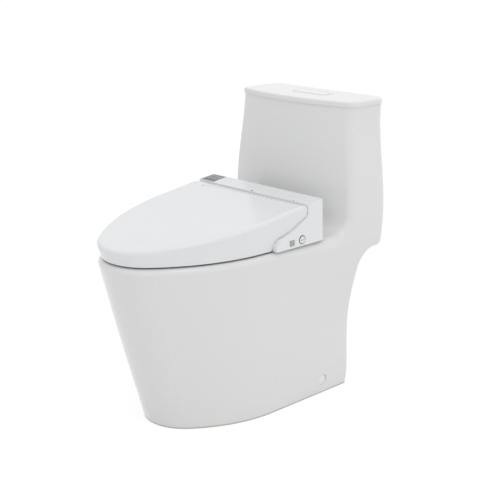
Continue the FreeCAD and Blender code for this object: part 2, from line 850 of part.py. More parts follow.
def mounting_plate():
    """T-shaped slide plate that is bolted through the deck."""
    y0, y1 = plate_span()
    web = dim("plate_half_width")
    outline = [
        (-web, RIM),
        (web, RIM),
        (web, RIM + 6),
        (web + 5, RIM + 6),
        (web + 5, RIM + 9),
        (-web - 5, RIM + 9),
        (-web - 5, RIM + 6),
        (-web, RIM + 6),
    ]
    body, sketch = body_sketch("base_plate", "XZ_Plane")
    draw_polygon(sketch, outline)
    sketch.AttachmentOffset = Placement(Vector(0, 0, -y1), Rotation())
    pad = pad_up(body, sketch, "base_plate", "Sizes.plate_depth")
    doc.recompute()
    seats = body.newObject("Sketcher::SketchObject", "base_plate_seats")
    plane = [f for f in body.Origin.OriginFeatures if f.Role == "XY_Plane"][0]
    seats.AttachmentSupport = [(plane, "")]
    seats.MapMode = "FlatFace"
    lift_sketch(seats, RIM + 9)
    spacing = dim("deck_hole_half_spacing")
    for side in (-1, 1):
        draw_circle(seats, side * spacing, DECK_HOLE_Y, 10)
    sunk = body.newObject("PartDesign::Pocket", "base_plate_counterbores")
    sunk.Profile = seats
    sunk.Length = 6.0
    holes = body.newObject("Sketcher::SketchObject", "base_plate_holes")
    holes.AttachmentSupport = [(plane, "")]
    holes.MapMode = "FlatFace"
    lift_sketch(holes, RIM + 9)
    for side in (-1, 1):
        draw_circle(holes, side * spacing, DECK_HOLE_Y, 4.2)
    through = body.newObject("PartDesign::Pocket", "base_plate_through_holes")
    through.Profile = holes
    through.Length = 12.0
    return node(body, "base_plate")


def deck_fixings():
    """Bolts, rubber sleeves and nuts that hold the plate on the deck."""
    spacing = dim("deck_hole_half_spacing")
    under = RIM - dim("deck_thickness")
    head = RIM + 3

    def mirrored(source, name):
        twin = doc.addObject("Part::Mirroring", name + "_twin")
        twin.Source = source
        twin.Normal = Vector(1, 0, 0)
        both = doc.addObject("Part::Compound", name)
        both.Links = [source, twin]
        return node(both, name)

    bolt = turned(
        "plate_bolt",
        [(0, under - 24), (4, under - 24), (4, head), (8.5, head), (8.5, head + 3), (7, head + 4.5), (0, head + 4.5)],
        spacing,
        DECK_HOLE_Y,
    )
    mirrored(bolt, "base_plate_bolts")
    sleeve = turned(
        "deck_sleeve",
        [(4.05, under), (dim("deck_hole_radius") - 0.2, under), (dim("deck_hole_radius") - 0.2, RIM), (4.05, RIM)],
        spacing,
        DECK_HOLE_Y,
    )
    mirrored(sleeve, "deck_sleeves")
    nut = turned(
        "deck_nut",
        [(4.0, under - 12), (8, under - 12), (9, under - 4), (14, under - 4), (14, under), (4.0, under)],
        spacing,
        DECK_HOLE_Y,
    )
    mirrored(nut, "deck_nuts")


mounting_plate()
deck_fixings()


# ---------------------------------------------------------------- seat unit's housing


def seam_line(shift):
    """The line where lid and housing meet, seen from the side, moved off the lid by shift."""
    radius = dim("barrel_radius") + shift
    axis = (AXIS_Y, AXIS_Z)
    foot = polar(axis, radius, -70)
    low = UNIT_FRONT
    return {
        "front": (low, LID_LOW + 4 - shift),
        "nose_mid": (low + 4.5 + shift * 0.7, LID_LOW + 18 - shift * 0.7),
        "nose": (low + 20 + shift * 0.3, AXIS_Z - 46 - shift),
        "saddle": (low + 50, AXIS_Z - 37 - shift),
        "foot_mid": (low + 76, AXIS_Z - 24.5 - shift),
        "foot": foot,
        "barrel_mid": polar(axis, radius, -35),
        "barrel": polar(axis, radius, 0),
    }


def unit_top(y):
    """Height of the housing's sloped top at a depth."""
    return AXIS_Z + 17.2 + (y - AXIS_Y - 18) * math.tan(math.radians(7.2))


def unit_plan(inset, z, half):
    """Plan outline of the housing at one height: square front, round rear corners."""
    radius = 34 - inset
    back = UNIT_BACK - inset
    front = UNIT_FRONT + inset
    x = half - inset
    d = radius * (1 - math.cos(math.radians(45)))
    p = [
        Vector(-x, front, z),
        Vector(x, front, z),
        Vector(x, back - radius, z),
        Vector(x - radius, back, z),
        Vector(-x + radius, back, z),
        Vector(-x, back - radius, z),
    ]
    right = Part.Arc(p[2], Vector(x - d, back - d, z), p[3]).toShape()
    left = Part.Arc(p[4], Vector(-x + d, back - d, z), p[5]).toShape()
    lines = [Part.makeLine(p[i], p[j]) for i, j in ((0, 1), (1, 2), (3, 4), (5, 0))]
    return Part.Wire([lines[0], lines[1], right, lines[2], left, lines[3]])


def unit_side(inset, bottom):
    """Side outline of the housing, cheeks included, drawn in by inset."""
    gap = dim("seam_gap") + inset
    seam = seam_line(gap)
    wall = AXIS_Y + dim("barrel_radius") + gap
    back = UNIT_BACK - inset
    break_y = UNIT_BACK - 22
    rear_mid = (UNIT_BACK - 6 - inset * 0.7, AXIS_Z + 8 - inset * 0.7)
    return [
        (UNIT_FRONT + inset, bottom),
        (UNIT_FRONT + inset, seam["front"][1]),
        ((seam["nose_mid"][0] + inset * 0.6, seam["nose_mid"][1]), seam["nose"]),
        ((seam["saddle"]), seam["foot_mid"]),
        seam["foot"],
        (seam["barrel_mid"], seam["barrel"]),
        (wall, unit_top(wall) - inset),
        (break_y, unit_top(break_y) - inset),
        (rear_mid, (back, AXIS_Z - 18)),
        (back, bottom),
    ]


def unit_pocket(grow):
    """The space between the cheeks, in front of the housing's middle, as a side outline."""
    radius = dim("barrel_radius") + dim("seam_gap") + grow
    axis = (AXIS_Y, AXIS_Z)
    return [
        (UNIT_FRONT - 60, UNIT_BOTTOM - 60),
        (AXIS_Y - 20 + grow, UNIT_BOTTOM - 60),
        (AXIS_Y - 20 + grow, AXIS_Z - 44),
        polar(axis, radius, -103),
        (polar(axis, radius, -52), polar(axis, radius, 0)),
        (AXIS_Y + radius, AXIS_Z + 60),
        (UNIT_FRONT - 60, AXIS_Z + 60),
    ]


def unit_solid(inset, bottom):
    """The housing's form drawn in by inset, as a closed solid."""
    low = unit_plan(inset, bottom - 1, dim("unit_half_width"))
    high = unit_plan(inset, AXIS_Z + 40, dim("unit_top_half_width") - 1)
    form = Part.makeLoft([low, high], True, True)
    form = form.common(across(side_face(unit_side(inset, bottom)), 300))
    between = dim("unit_half_width") - dim("cheek_thickness") + inset
    return form.cut(across(side_face(unit_pocket(inset)), between))


def panel_zone(grow):
    """Where the display lies: the outer end of the housing's top on the sitter's right."""
    y0 = AXIS_Y + 19.5 - grow
    y1 = AXIS_Y + 64 + grow
    deep = 4 + grow
    outline = [
        (y0, unit_top(y0) - deep),
        (y1, unit_top(y1) - deep),
        (y1, unit_top(y1) + 20),
        (y0, unit_top(y0) + 20),
    ]
    return prism(outline, -250, -136 + grow)


def nozzle_line(along, x):
    """A point on a nozzle's axis, measured back from its parked tip."""
    pitch = math.radians(dim("nozzle_pitch"))
    y = AXIS_Y - 18.5 + along * math.cos(pitch)
    z = RIM + 20.5 + along * math.sin(pitch)
    return Vector(x, y, z)


def unit_cover(outer):
    """The white upper shell with its cheeks, ports and openings."""
    wall = dim("unit_wall")
    cavity = unit_solid(wall, UNIT_BOTTOM)
    lowered = cavity.copy()
    lowered.translate(Vector(0, 0, -wall - 2))
    shape = outer.cut(cavity.fuse(lowered))
    shape = shape.cut(panel_zone(GAP))
    y0, y1 = plate_span()
    web = dim("plate_half_width")
    # open rear foot, so the unit can slide forward off its plate
    shape = shape.cut(block(-web - 9, web + 9, y0, UNIT_BACK + 5, UNIT_BOTTOM - 2, RIM + 15))
    for side in (-1, 1):
        start = nozzle_line(-30, side * dim("nozzle_half_spacing"))
        end = nozzle_line(20, side * dim("nozzle_half_spacing"))
        shape = shape.cut(rod(dim("nozzle_radius") + 0.6, start, end))
    # warm air port beside the nozzles
    shape = shape.cut(block(34, 58, AXIS_Y - 25, AXIS_Y - 12, RIM + 7.5, RIM + 22))
    # slots for the hinge posts
    for side in (-1, 1):
        xs = sorted((side * 143, side * 161))
        shape = shape.cut(block(xs[0], xs[1], AXIS_Y - 12, AXIS_Y + 3, AXIS_Z - 42, AXIS_Z - 10))
    # release button and drain plug on the sitter's left cheek
    bx, by, bz = button_place()
    shape = shape.cut(block(bx - 9, bx + 9, by - 7.8, by + 7.8, bz - 6.8, bz + 6.8))
    dx, dy, dz = drain_place()
    shape = shape.cut(rod(8.5 + GAP, Vector(dx - 9, dy, dz), Vector(dx + 9, dy, dz)))
    # water inlet and cord outlet in the side wall on the sitter's right
    for radius, place in ((9.2, inlet_place()), (5.2, gland_place())):
        shape = shape.cut(rod(radius, place + Vector(15, 0, 0), place - Vector(10, 0, 0)))
    solids = sorted(shape.Solids, key=lambda s: s.Volume)
    return node(feature("housing_cover", solids[-1]), "housing_cover")


def button_place():
    """Middle of the release button on the cheek's outer face."""
    return dim("unit_half_width") - 1.5, AXIS_Y - 37, RIM + 14.5


def drain_place():
    """Middle of the drain plug on the cheek's outer face."""
    return dim("unit_half_width") - 1.5, AXIS_Y - 4, RIM + 16.5


def inlet_place():
    """Middle of the water inlet's hole, on the housing's outer side face."""
    return Vector(-dim("unit_half_width"), AXIS_Y + 52, RIM + 35)


def gland_place():
    """Middle of the cord outlet's hole, on the housing's outer side face."""
    return Vector(-dim("unit_half_width"), AXIS_Y + 24, RIM + 22)


def unit_base():
    """The lower tray, open over the slide plate, with a tunnel that hooks under it."""
    y0, y1 = plate_span()
    web = dim("plate_half_width")
    inner = unit_solid(dim("unit_wall") + GAP, UNIT_BOTTOM - 5)
    floor_box = block(-300, 300, UNIT_FRONT, UNIT_BACK, UNIT_BOTTOM + 0.1, UNIT_BOTTOM + 3.1)
    tray = inner.common(floor_box)
    tunnel = block(-web - 8, web + 8, y0 - 3.5, UNIT_BACK - 4, UNIT_BOTTOM + 0.1, RIM + 14.5)
    way = block(-web - 5.5, web + 5.5, y0 - 1, UNIT_BACK + 5, UNIT_BOTTOM - 3, RIM + 12)
    tray = tray.fuse(tunnel).cut(way)
    # lips under the plate's flanges
    for side in (-1, 1):
        xs = sorted((side * (web + 1), side * (web + 8)))
        tray = tray.fuse(block(xs[0], xs[1], y0 - 3.5, UNIT_BACK - 4, UNIT_BOTTOM + 0.1, UNIT_BOTTOM + 3.1))
    tray = tray.removeSplitter()
    solids = sorted(tray.Solids, key=lambda s: s.Volume)
    return node(feature("housing_base", solids[-1]), "housing_base")


def display(outer):
    """Grey gloss control panel and its dark sensor window."""
    slab = outer.common(panel_zone(0.0))
    tilt = Rotation(Vector(1, 0, 0), 7.2)
    x = -169
    y = AXIS_Y + 50
    z = unit_top(y)
    ring = Part.Ellipse(Vector(0, 0, 0), 8.5, 5.0).toShape()
    lens = Part.Face(Part.Wire([ring])).extrude(Vector(0, 0, 2.0))
    recess = Part.Face(Part.Wire([Part.Ellipse(Vector(0, 0, 0), 8.7, 5.2).toShape()]))
    recess = recess.extrude(Vector(0, 0, 4.0))
    recess.Placement = Placement(Vector(x, y, z - 1.6), tilt)
    node(feature("display_panel", slab.cut(recess)), "display_panel")
    node(feature("sensor_window", lens, Placement(Vector(x, y, z - 1.6), tilt)), "sensor_window")


def cheek_controls():
    """Square release button and slotted drain plug."""
    bx, by, bz = button_place()
    out = bx + 2.2
    face = block(out - 7, out, by - 7.4, by + 7.4, bz - 6.4, bz + 6.4)
    front = edges_where(face, lambda b: b.XMin > out - 0.01)
    face = face.makeFillet(0.8, front)
    flange = block(out - 7, out - 5.4, by - 9.5, by + 9.5, bz - 7.6, bz + 7.6)
    node(feature("release_button", face.fuse(flange).removeSplitter()), "release_button")
    dx, dy, dz = drain_place()
    out = dx + 2.4
    plug = rod(8.5, Vector(out - 9, dy, dz), Vector(out, dy, dz))
    face_edge = edges_where(plug, lambda b: b.XMin > out - 0.01)
    plug = plug.makeFillet(0.7, face_edge)
    slot = block(out - 2, out + 1, dy - 6, dy + 6, dz - 1, dz + 1)
    node(feature("drain_plug", plug.cut(slot)), "drain_plug")


def unit_feet():
    """Rubber feet between the cheeks and the rim."""
    spots = [
        (dim("unit_half_width") - 9, AXIS_Y - 60, UNIT_BOTTOM),
        (dim("unit_half_width") - 26, AXIS_Y + 65, UNIT_BOTTOM + 0.1),
    ]
    feet = []
    for x, y, top in spots:
        feet.append(rod(4.5, Vector(x, y, RIM + GAP), Vector(x, y, top)))
    group = Part.makeCompound(feet + [mirror_x(f) for f in feet])
    return node(feature("unit_feet", group), "unit_feet")


outer_form = unit_solid(0.0, UNIT_BOTTOM)
unit_cover(outer_form)
unit_base()
display(outer_form)
cheek_controls()
unit_feet()


# ---------------------------------------------------------------- hinge posts and dampers

POST = (145.0, 159.0)
SEAT_ARM = (126.0, 142.0)
LID_EAR = (163.0, 171.0)
PIN_RADIUS = 4.0


def hinge_posts():
    """Two posts that stand on the tray and carry the damper cartridges."""
    axis = (AXIS_Y, AXIS_Z)
    low = UNIT_BOTTOM + 3.1
    outline = [
        (AXIS_Y - 9, low),
        (AXIS_Y + 45, low),
        (AXIS_Y + 45, low + 5),
        (AXIS_Y + 2, low + 24),
        (AXIS_Y + 1, AXIS_Z - 8),
        (polar(axis, 10.5, 0), polar(axis, 10.5, 90)),
        (polar(axis, 10.5, 150), polar(axis, 10.5, 215)),
    ]
    post = prism(outline, POST[0], POST[1])
    bore = rod(7.5, Vector(POST[0] - 2, *axis), Vector(POST[1] + 2, *axis))
    return node(feature("hinge_posts", pair(post.cut(bore))), "hinge_posts")


def dampers():
    """Soft-close cartridges: a barrel in the post, a shaft to the seat and one to the lid."""
    axis = (AXIS_Y, AXIS_Z)
    barrel = rod(7.5, Vector(POST[0], *axis), Vector(POST[1], *axis))
    shaft = rod(PIN_RADIUS, Vector(SEAT_ARM[0] + 2, *axis), Vector(LID_EAR[1] - 1, *axis))
    return node(feature("soft_close_dampers", pair(barrel.fuse(shaft))), "soft_close_dampers")


hinge_posts()
dampers()


# ---------------------------------------------------------------- seat ring


def seat_top(y):
    """Height of the seat's sitting face at a depth."""
    front = FRONT + dim("seat_tip_setback")
    rear = AXIS_Y - 28
    rise = dim("seat_rear_thickness") - dim("seat_front_thickness")
    return SEAT_BOTTOM + dim("seat_front_thickness") + rise * (y - front) / (rear - front)


def seat_ring(inset, low, drop):
    """Seat ring drawn in by inset on both edges, its top lowered by drop."""
    tip = FRONT + dim("seat_tip_setback") + inset
    half = dim("seat_half_width") - inset
    rear = AXIS_Y - 28 - inset
    length = dim("seat_nose_length") - inset
    outline = horseshoe(low, tip, half, length, half - 8, rear, 40 - inset)
    solid = Part.Face(outline).extrude(Vector(0, 0, 90))
    middle = dim("seat_hole_rear_offset") - dim("seat_hole_length") / 2
    hole = oval(low - 5, middle, dim("seat_hole_length") / 2 + inset, dim("seat_hole_half_width") + inset)
    solid = solid.cut(Part.Face(hole).extrude(Vector(0, 0, 110)))
    above = [
        (FRONT - 20, seat_top(FRONT - 20) - drop),
        (AXIS_Y, seat_top(AXIS_Y) - drop),
        (AXIS_Y, SEAT_BOTTOM + 150),
        (FRONT - 20, SEAT_BOTTOM + 150),
    ]
    return solid.cut(across(side_face(above), 300))


def nozzle_arch(z_low, z_high):
    """The raised underside at the seat's back, over the nozzles and the warm air port."""
    return block(-28, 62, dim("seat_hole_rear_offset") - 20, AXIS_Y, z_low, z_high)


def seat_arm():
    """One hinge arm from the ring's back up to the pin."""
    axis = (AXIS_Y, AXIS_Z)
    outline = [
        (AXIS_Y - 52, seat_top(AXIS_Y - 52) - 6),
        (AXIS_Y - 36, seat_top(AXIS_Y - 36) - 9),
        polar(axis, 9.5, -42),
        (polar(axis, 9.5, 50), polar(axis, 9.5, 138)),
        (AXIS_Y - 50, seat_top(AXIS_Y - 50) - 1),
    ]
    arm = prism(outline, SEAT_ARM[0], SEAT_ARM[1])
    bore = rod(PIN_RADIUS + dim("running_clearance"), Vector(SEAT_ARM[0] - 2, *axis), Vector(SEAT_ARM[1] + 2, *axis))
    return arm, bore


def seat():
    """Upper shell with heated skin, lower shell, heating foil and bumpers."""
    split = SEAT_BOTTOM + 4
    wall = dim("seat_wall")
    upper = seat_ring(0.0, split, 0.0)
    top_edges = edges_where(upper, lambda b: b.ZMin > split + 8)
    upper = upper.makeFillet(8, top_edges)
    cavity = seat_ring(wall, split - 1, wall)
    cavity = cavity.cut(nozzle_arch(split - 5, SEAT_BOTTOM + 60))
    upper = upper.cut(cavity)
    for arm, bore in [seat_arm()]:
        upper = upper.fuse([arm, mirror_x(arm)]).cut(bore).cut(mirror_x(bore))
    upper = upper.cut(nozzle_arch(split - 5, RIM + 27))
    upper = upper.removeSplitter()
    node(feature("seat_upper_shell", upper), "seat_upper_shell")

    lower = seat_ring(0.0, SEAT_BOTTOM, 0.0).common(block(-300, 300, FRONT, BACK, SEAT_BOTTOM, split))
    lower_edges = edges_where(lower, lambda b: b.ZMax < SEAT_BOTTOM + 0.01)
    lower = lower.makeFillet(2.5, lower_edges)
    lower = lower.cut(nozzle_arch(SEAT_BOTTOM - 5, RIM + 27))
    node(feature("seat_lower_shell", lower), "seat_lower_shell")

    foil = seat_ring(wall + 4, split + 1, wall).cut(seat_ring(wall + 3, split, wall + 0.8))
    foil = foil.cut(nozzle_arch(split - 5, SEAT_BOTTOM + 60))
    foil = foil.common(block(-300, 300, FRONT, AXIS_Y - 55, SEAT_BOTTOM, SEAT_BOTTOM + 90))
    node(feature("seat_heater", foil), "seat_heater")

    pads = []
    for x, y in ((113, FRONT + 140), (130, AXIS_Y - 90)):
        pads.append(rod(9, Vector(x, y, RIM + GAP), Vector(x, y, SEAT_BOTTOM)))
    group = Part.makeCompound(pads + [mirror_x(p) for p in pads])
    node(feature("seat_bumpers", group), "seat_bumpers")


seat()


# ---------------------------------------------------------------- lid


def lid_top(y):
    """Height of the lid's top face above a depth, level with the hinge barrel's crown."""
    pitch = math.radians(dim("lid_pitch"))
    crown_y = AXIS_Y - dim("barrel_radius") * math.sin(pitch)
    crown_z = AXIS_Z + dim("barrel_radius") * math.cos(pitch)
    return crown_z + (y - crown_y) * math.tan(pitch)


def lid_side(inset):
    """Side outline of the lid drawn in by inset: flat lower edge, seam and hinge barrel."""
    axis = (AXIS_Y, AXIS_Z)
    radius = dim("barrel_radius") - inset
    pitch = dim("lid_pitch")
    seam = seam_line(-inset)
    crown = polar(axis, radius, 90 + pitch)
    low = LID_LOW + inset
    nose = seam["nose"]
    front = FRONT - 60
    drop = inset / math.cos(math.radians(pitch))
    lip = UNIT_FRONT - inset
    return [
        (front, low),
        (lip - 3, low),
        (lip - 0.5, seam["front"][1] + 1),
        (seam["nose_mid"], nose),
        (seam["saddle"], seam["foot_mid"]),
        seam["foot"],
        (polar(axis, radius, 10), crown),
        (front, lid_top(front) - drop),
    ]


def lid_form(inset, crease=0.0):
    """The lid's outer form, drawn in by inset, its top edge rounded by crease."""
    low = LID_LOW
    tip = FRONT + dim("lid_tip_setback")
    half = dim("lid_half_width") - inset
    length = dim("lid_nose_length") - inset
    flare = dim("lid_flare")
    tip_flare = dim("lid_tip_flare")
    wires = [
        horseshoe(low - 2, tip + inset, half, length, half, BACK, 0),
        horseshoe(low + 111, tip - tip_flare + inset, half + flare, length + tip_flare, half + flare, BACK, 0),
    ]
    front = FRONT - 60
    back = AXIS_Y + 60
    drop = inset / math.cos(math.radians(dim("lid_pitch")))
    wedge = [
        (front, low + inset),
        (back, low + inset),
        (back, lid_top(back) - drop),
        (front, lid_top(front) - drop),
    ]
    form = Part.makeLoft(wires, True, True).common(across(side_face(wedge), 300))
    if crease:
        form = form.makeFillet(crease, edges_where(form, lambda b: b.ZMin > low + 15 and b.YMin < AXIS_Y))
    return form.common(across(side_face(lid_side(inset)), 300))


def lid():
    """One moulded cover: sloping top, deep skirts and hinge barrels at the back corners."""
    form = lid_form(0.0, dim("lid_crease_radius"))
    wall = dim("lid_wall")
    cavity = lid_form(wall)
    lowered = cavity.copy()
    lowered.translate(Vector(0, 0, -wall - 2))
    shape = form.cut(cavity.fuse(lowered))
    # behind the skirts' ends only the top skin runs across the middle
    axis = (AXIS_Y, AXIS_Z)
    inner = dim("barrel_radius") - wall
    pitch = dim("lid_pitch")
    drop = wall / math.cos(math.radians(pitch))
    start = UNIT_FRONT - 12
    below = [
        (start, LID_LOW - 9),
        (AXIS_Y + 40, LID_LOW - 9),
        (AXIS_Y + 40, AXIS_Z + 5.5),
        polar(axis, inner, 25),
        (polar(axis, inner, 60), polar(axis, inner, 90 + pitch)),
        (start, lid_top(start) - drop),
    ]
    shape = shape.cut(across(side_face(below), LID_EAR[0]))
    clear = block(-169, 169, start, AXIS_Y - 20, LID_LOW - 9, AXIS_Z - 30)
    shape = shape.cut(clear)
    ear = rod(dim("barrel_radius") - 0.2, Vector(LID_EAR[0], *axis), Vector(LID_EAR[1], *axis))
    shape = shape.fuse([ear, mirror_x(ear)])
    bore = rod(PIN_RADIUS + dim("running_clearance"), Vector(LID_EAR[0] - 2, *axis), Vector(LID_EAR[1] + 0.5, *axis))
    shape = shape.cut(bore).cut(mirror_x(bore))
    # shallow band along the hinge line
    y0 = AXIS_Y - 16
    y1 = AXIS_Y - 3
    band = [
        (y0, lid_top(y0) - 1.2),
        (y1, lid_top(y1) - 1.2),
        (y1 + 4, lid_top(y1) + 10),
        (y0 - 1.5, lid_top(y0) + 10),
    ]
    shape = shape.cut(across(side_face(band), 122)).removeSplitter()
    solids = sorted(shape.Solids, key=lambda s: s.Volume)
    node(feature("lid_shell", solids[-1]), "lid_shell")

    pads = []
    for x, y in ((40, FRONT + 49),):
        top = Vector(x, y, lid_top(y) - wall / math.cos(math.radians(dim("lid_pitch"))) - 0.9)
        pads.append(rod(6, Vector(x, y, seat_top(y) + GAP), top))
    group = Part.makeCompound(pads + [mirror_x(p) for p in pads])
    node(feature("lid_bumpers", group), "lid_bumpers")


lid()


# ---------------------------------------------------------------- spray nozzles


def nozzles():
    """Two straight wands, their guide block and drive motors."""
    radius = dim("nozzle_radius")
    slide = dim("running_clearance")
    spacing = dim("nozzle_half_spacing")
    length = dim("nozzle_length")
    for name, side in (("rear_nozzle", 1), ("front_nozzle", -1)):
        x = side * spacing
        wand = rod(radius, nozzle_line(0, x), nozzle_line(length, x))
        tip = [e for e in wand.Edges if e.BoundBox.YMax < nozzle_line(12, x).y and e.BoundBox.XLength > 5]
        wand = wand.makeFillet(3.5, tip)
        pitch = math.radians(dim("nozzle_pitch"))
        up = Vector(0, -math.sin(pitch), math.cos(pitch))
        for hole_x in ((-1.6, 1.6) if side > 0 else (-2.2, 0, 2.2)):
            base = nozzle_line(12, x + hole_x)
            wand = wand.cut(rod(0.7, base + up * 3, base + up * 12))
        node(feature(name, wand), name)
    block_x = spacing + radius + 5
    low = nozzle_line(6, 0)
    guide = Part.makeBox(2 * block_x, 44, 2 * radius + 6, Vector(-block_x, 0, -radius - 3))
    guide.Placement = Placement(low, Rotation(Vector(1, 0, 0), dim("nozzle_pitch")))
    leg = prism(
        [
            (low.y + 22, RIM + 14.5),
            (low.y + 60, RIM + 14.5),
            (low.y + 52, RIM + 40),
            (low.y + 30, RIM + 30),
        ],
        -block_x,
        block_x,
    )
    guide = guide.fuse(leg)
    guide = guide.cut(block(-60, 60, UNIT_FRONT, AXIS_Y - 16.5, RIM, RIM + 60))
    for side in (-1, 1):
        x = side * spacing
        guide = guide.cut(rod(radius + slide, nozzle_line(-10, x), nozzle_line(length + 20, x)))
    node(feature("nozzle_block", guide.removeSplitter()), "nozzle_block")
    centre = nozzle_line(34, 0)
    motor = rod(11, Vector(block_x + 0.3, centre.y, centre.z), Vector(block_x + 14, centre.y, centre.z))
    node(feature("nozzle_motors", Part.makeCompound([mirror_x(motor)])), "nozzle_motor")


nozzles()


# ---------------------------------------------------------------- inside the seat unit


def water_heater():
    """Instant heater block with its two hose stubs."""
    core = block(-100, -46, AXIS_Y + 30, AXIS_Y + 80, RIM + 16, RIM + 62)
    upright = edges_where(core, lambda b: b.ZLength > 30)
    core = core.makeFillet(5, upright)
    for x in (-86, -60):
        core = core.fuse(rod(4, Vector(x, AXIS_Y + 55, RIM + 60), Vector(x, AXIS_Y + 55, RIM + 74)))
    legs = [block(x, x + 8, AXIS_Y + 40, AXIS_Y + 70, RIM + 14.5, RIM + 17) for x in (-98, -56)]
    return node(feature("water_heater", core.fuse(legs).removeSplitter()), "water_heater")


def control_board():
    """Circuit board under the display with its larger components and its four posts."""
    z = AXIS_Z - 12
    board = block(-172, -112, AXIS_Y + 26, AXIS_Y + 74, z, z + 1.6)
    parts = [
        block(-170, -150, AXIS_Y + 32, AXIS_Y + 48, z + 1.6, z + 10),
        block(-144, -134, AXIS_Y + 34, AXIS_Y + 44, z + 1.6, z + 5),
        block(-128, -118, AXIS_Y + 50, AXIS_Y + 72, z + 1.6, z + 9),
        rod(4, Vector(-160, AXIS_Y + 64, z + 1.6), Vector(-160, AXIS_Y + 64, z + 12)),
        rod(4, Vector(-148, AXIS_Y + 64, z + 1.6), Vector(-148, AXIS_Y + 64, z + 12)),
    ]
    posts = []
    for y in (AXIS_Y + 30, AXIS_Y + 70):
        posts.append(rod(2.5, Vector(-115, y, UNIT_BOTTOM + 3.1), Vector(-115, y, z)))
        posts.append(rod(2.5, Vector(-168, y, UNIT_BOTTOM + 3.1), Vector(-168, y, z)))
    return node(feature("control_board", board.fuse(parts + posts).removeSplitter()), "control_board")


def water_inlet():
    """Threaded inlet stub in the side wall and the solenoid valve behind it."""
    start = inlet_place()
    shank = dim("fill_shank_radius")

    def along(radius, x0, x1):
        return rod(radius, start + Vector(x0, 0, 0), start + Vector(x1, 0, 0))

    fitting = along(9, 18, -2.8).fuse([along(14, 0.6, -2.4), along(shank, -2.8, -11.3)])
    fitting = fitting.cut(along(5, 12, -20)).removeSplitter()
    node(feature("inlet_fitting", fitting), "inlet_fitting")
    x = start.x + 18
    y = start.y
    z = start.z
    body = block(x, x + 30, y - 11, y + 11, z - 9, z + 9)
    coil = rod(9, Vector(x + 16, y, z - 19), Vector(x + 16, y, z - 8))
    foot = block(x + 9, x + 23, y - 7, y + 7, UNIT_BOTTOM + 3.1, z - 18)
    node(feature("solenoid_valve", body.fuse([coil, foot]).removeSplitter()), "solenoid_valve")


def dryer():
    """Warm air dryer: scroll housing, bladed wheel, motor and duct to the port."""
    x0 = 32.0
    x1 = 60.0
    centre = (AXIS_Y + 52, RIM + 46)
    scroll = rod(25, Vector(x0, *centre), Vector(x1, *centre))
    exit_box = block(x0 + 2, x1 - 2, AXIS_Y + 22, centre[0], centre[1] - 25, centre[1] - 11)
    foot = block(x0, x1, centre[0] - 12, centre[0] + 12, RIM + 14.5, centre[1] - 22)
    shell = scroll.fuse([exit_box, foot])
    chamber = rod(22.5, Vector(x0 + 2, *centre), Vector(x1 - 2, *centre))
    throat = block(x0 + 4, x1 - 4, AXIS_Y + 20, centre[0], centre[1] - 23, centre[1] - 13)
    eye = rod(11, Vector(x0 - 2, *centre), Vector(x0 + 4, *centre))
    shaft_way = rod(2.5, Vector(x1 - 4, *centre), Vector(x1 + 2, *centre))
    shell = shell.cut(chamber).cut(throat).cut(eye).cut(shaft_way).removeSplitter()
    node(feature("dryer_blower", shell), "dryer_blower")

    hub = rod(4, Vector(x0 + 6, *centre), Vector(x1 - 3, *centre))
    disc = rod(20, Vector(x1 - 6, *centre), Vector(x1 - 4.5, *centre))
    blades = []
    count = 12
    for i in range(count):
        blade = Part.makeBox(x1 - x0 - 13, 7, 1.2, Vector(x0 + 7.5, 13, -0.6))
        turn = Rotation(Vector(1, 0, 0), 360.0 * i / count)
        blade.Placement = Placement(Vector(0, *centre), turn)
        blades.append(blade)
    rim = rod(20, Vector(x0 + 6.5, *centre), Vector(x0 + 8, *centre))
    rim = rim.cut(rod(13.5, Vector(x0 + 5, *centre), Vector(x0 + 9, *centre)))
    wheel = hub.fuse([disc, rim] + blades)
    wheel = wheel.cut(rod(1.5 + dim("running_clearance"), Vector(x0, *centre), Vector(x1, *centre)))
    node(feature("dryer_impeller", wheel.removeSplitter()), "dryer_impeller")

    motor = rod(13, Vector(x1 + 0.1, *centre), Vector(x1 + 20, *centre))
    shaft = rod(1.5, Vector(x0 + 8, *centre), Vector(x1 + 1, *centre))
    stand = block(x1 + 2, x1 + 18, centre[0] - 8, centre[0] + 8, RIM + 14.5, centre[1] - 10)
    node(feature("dryer_motor", motor.fuse([shaft, stand]).removeSplitter()), "dryer_motor")

    def duct_form(wall):
        wires = []
        for y, low, high in ((AXIS_Y - 16.6, RIM + 8, RIM + 21.5), (AXIS_Y + 21.7, centre[1] - 25, centre[1] - 11)):
            a = x0 + 2.5 + wall
            b = x1 - 2.5 - wall
            c = [
                Vector(a, y, low + wall),
                Vector(b, y, low + wall),
                Vector(b, y, high - wall),
                Vector(a, y, high - wall),
            ]
            wires.append(Part.makePolygon(c + [c[0]]))
        return Part.makeLoft(wires, True, True)

    duct = duct_form(0.0).cut(duct_form(1.5))
    node(feature("dryer_duct", duct), "dryer_duct")


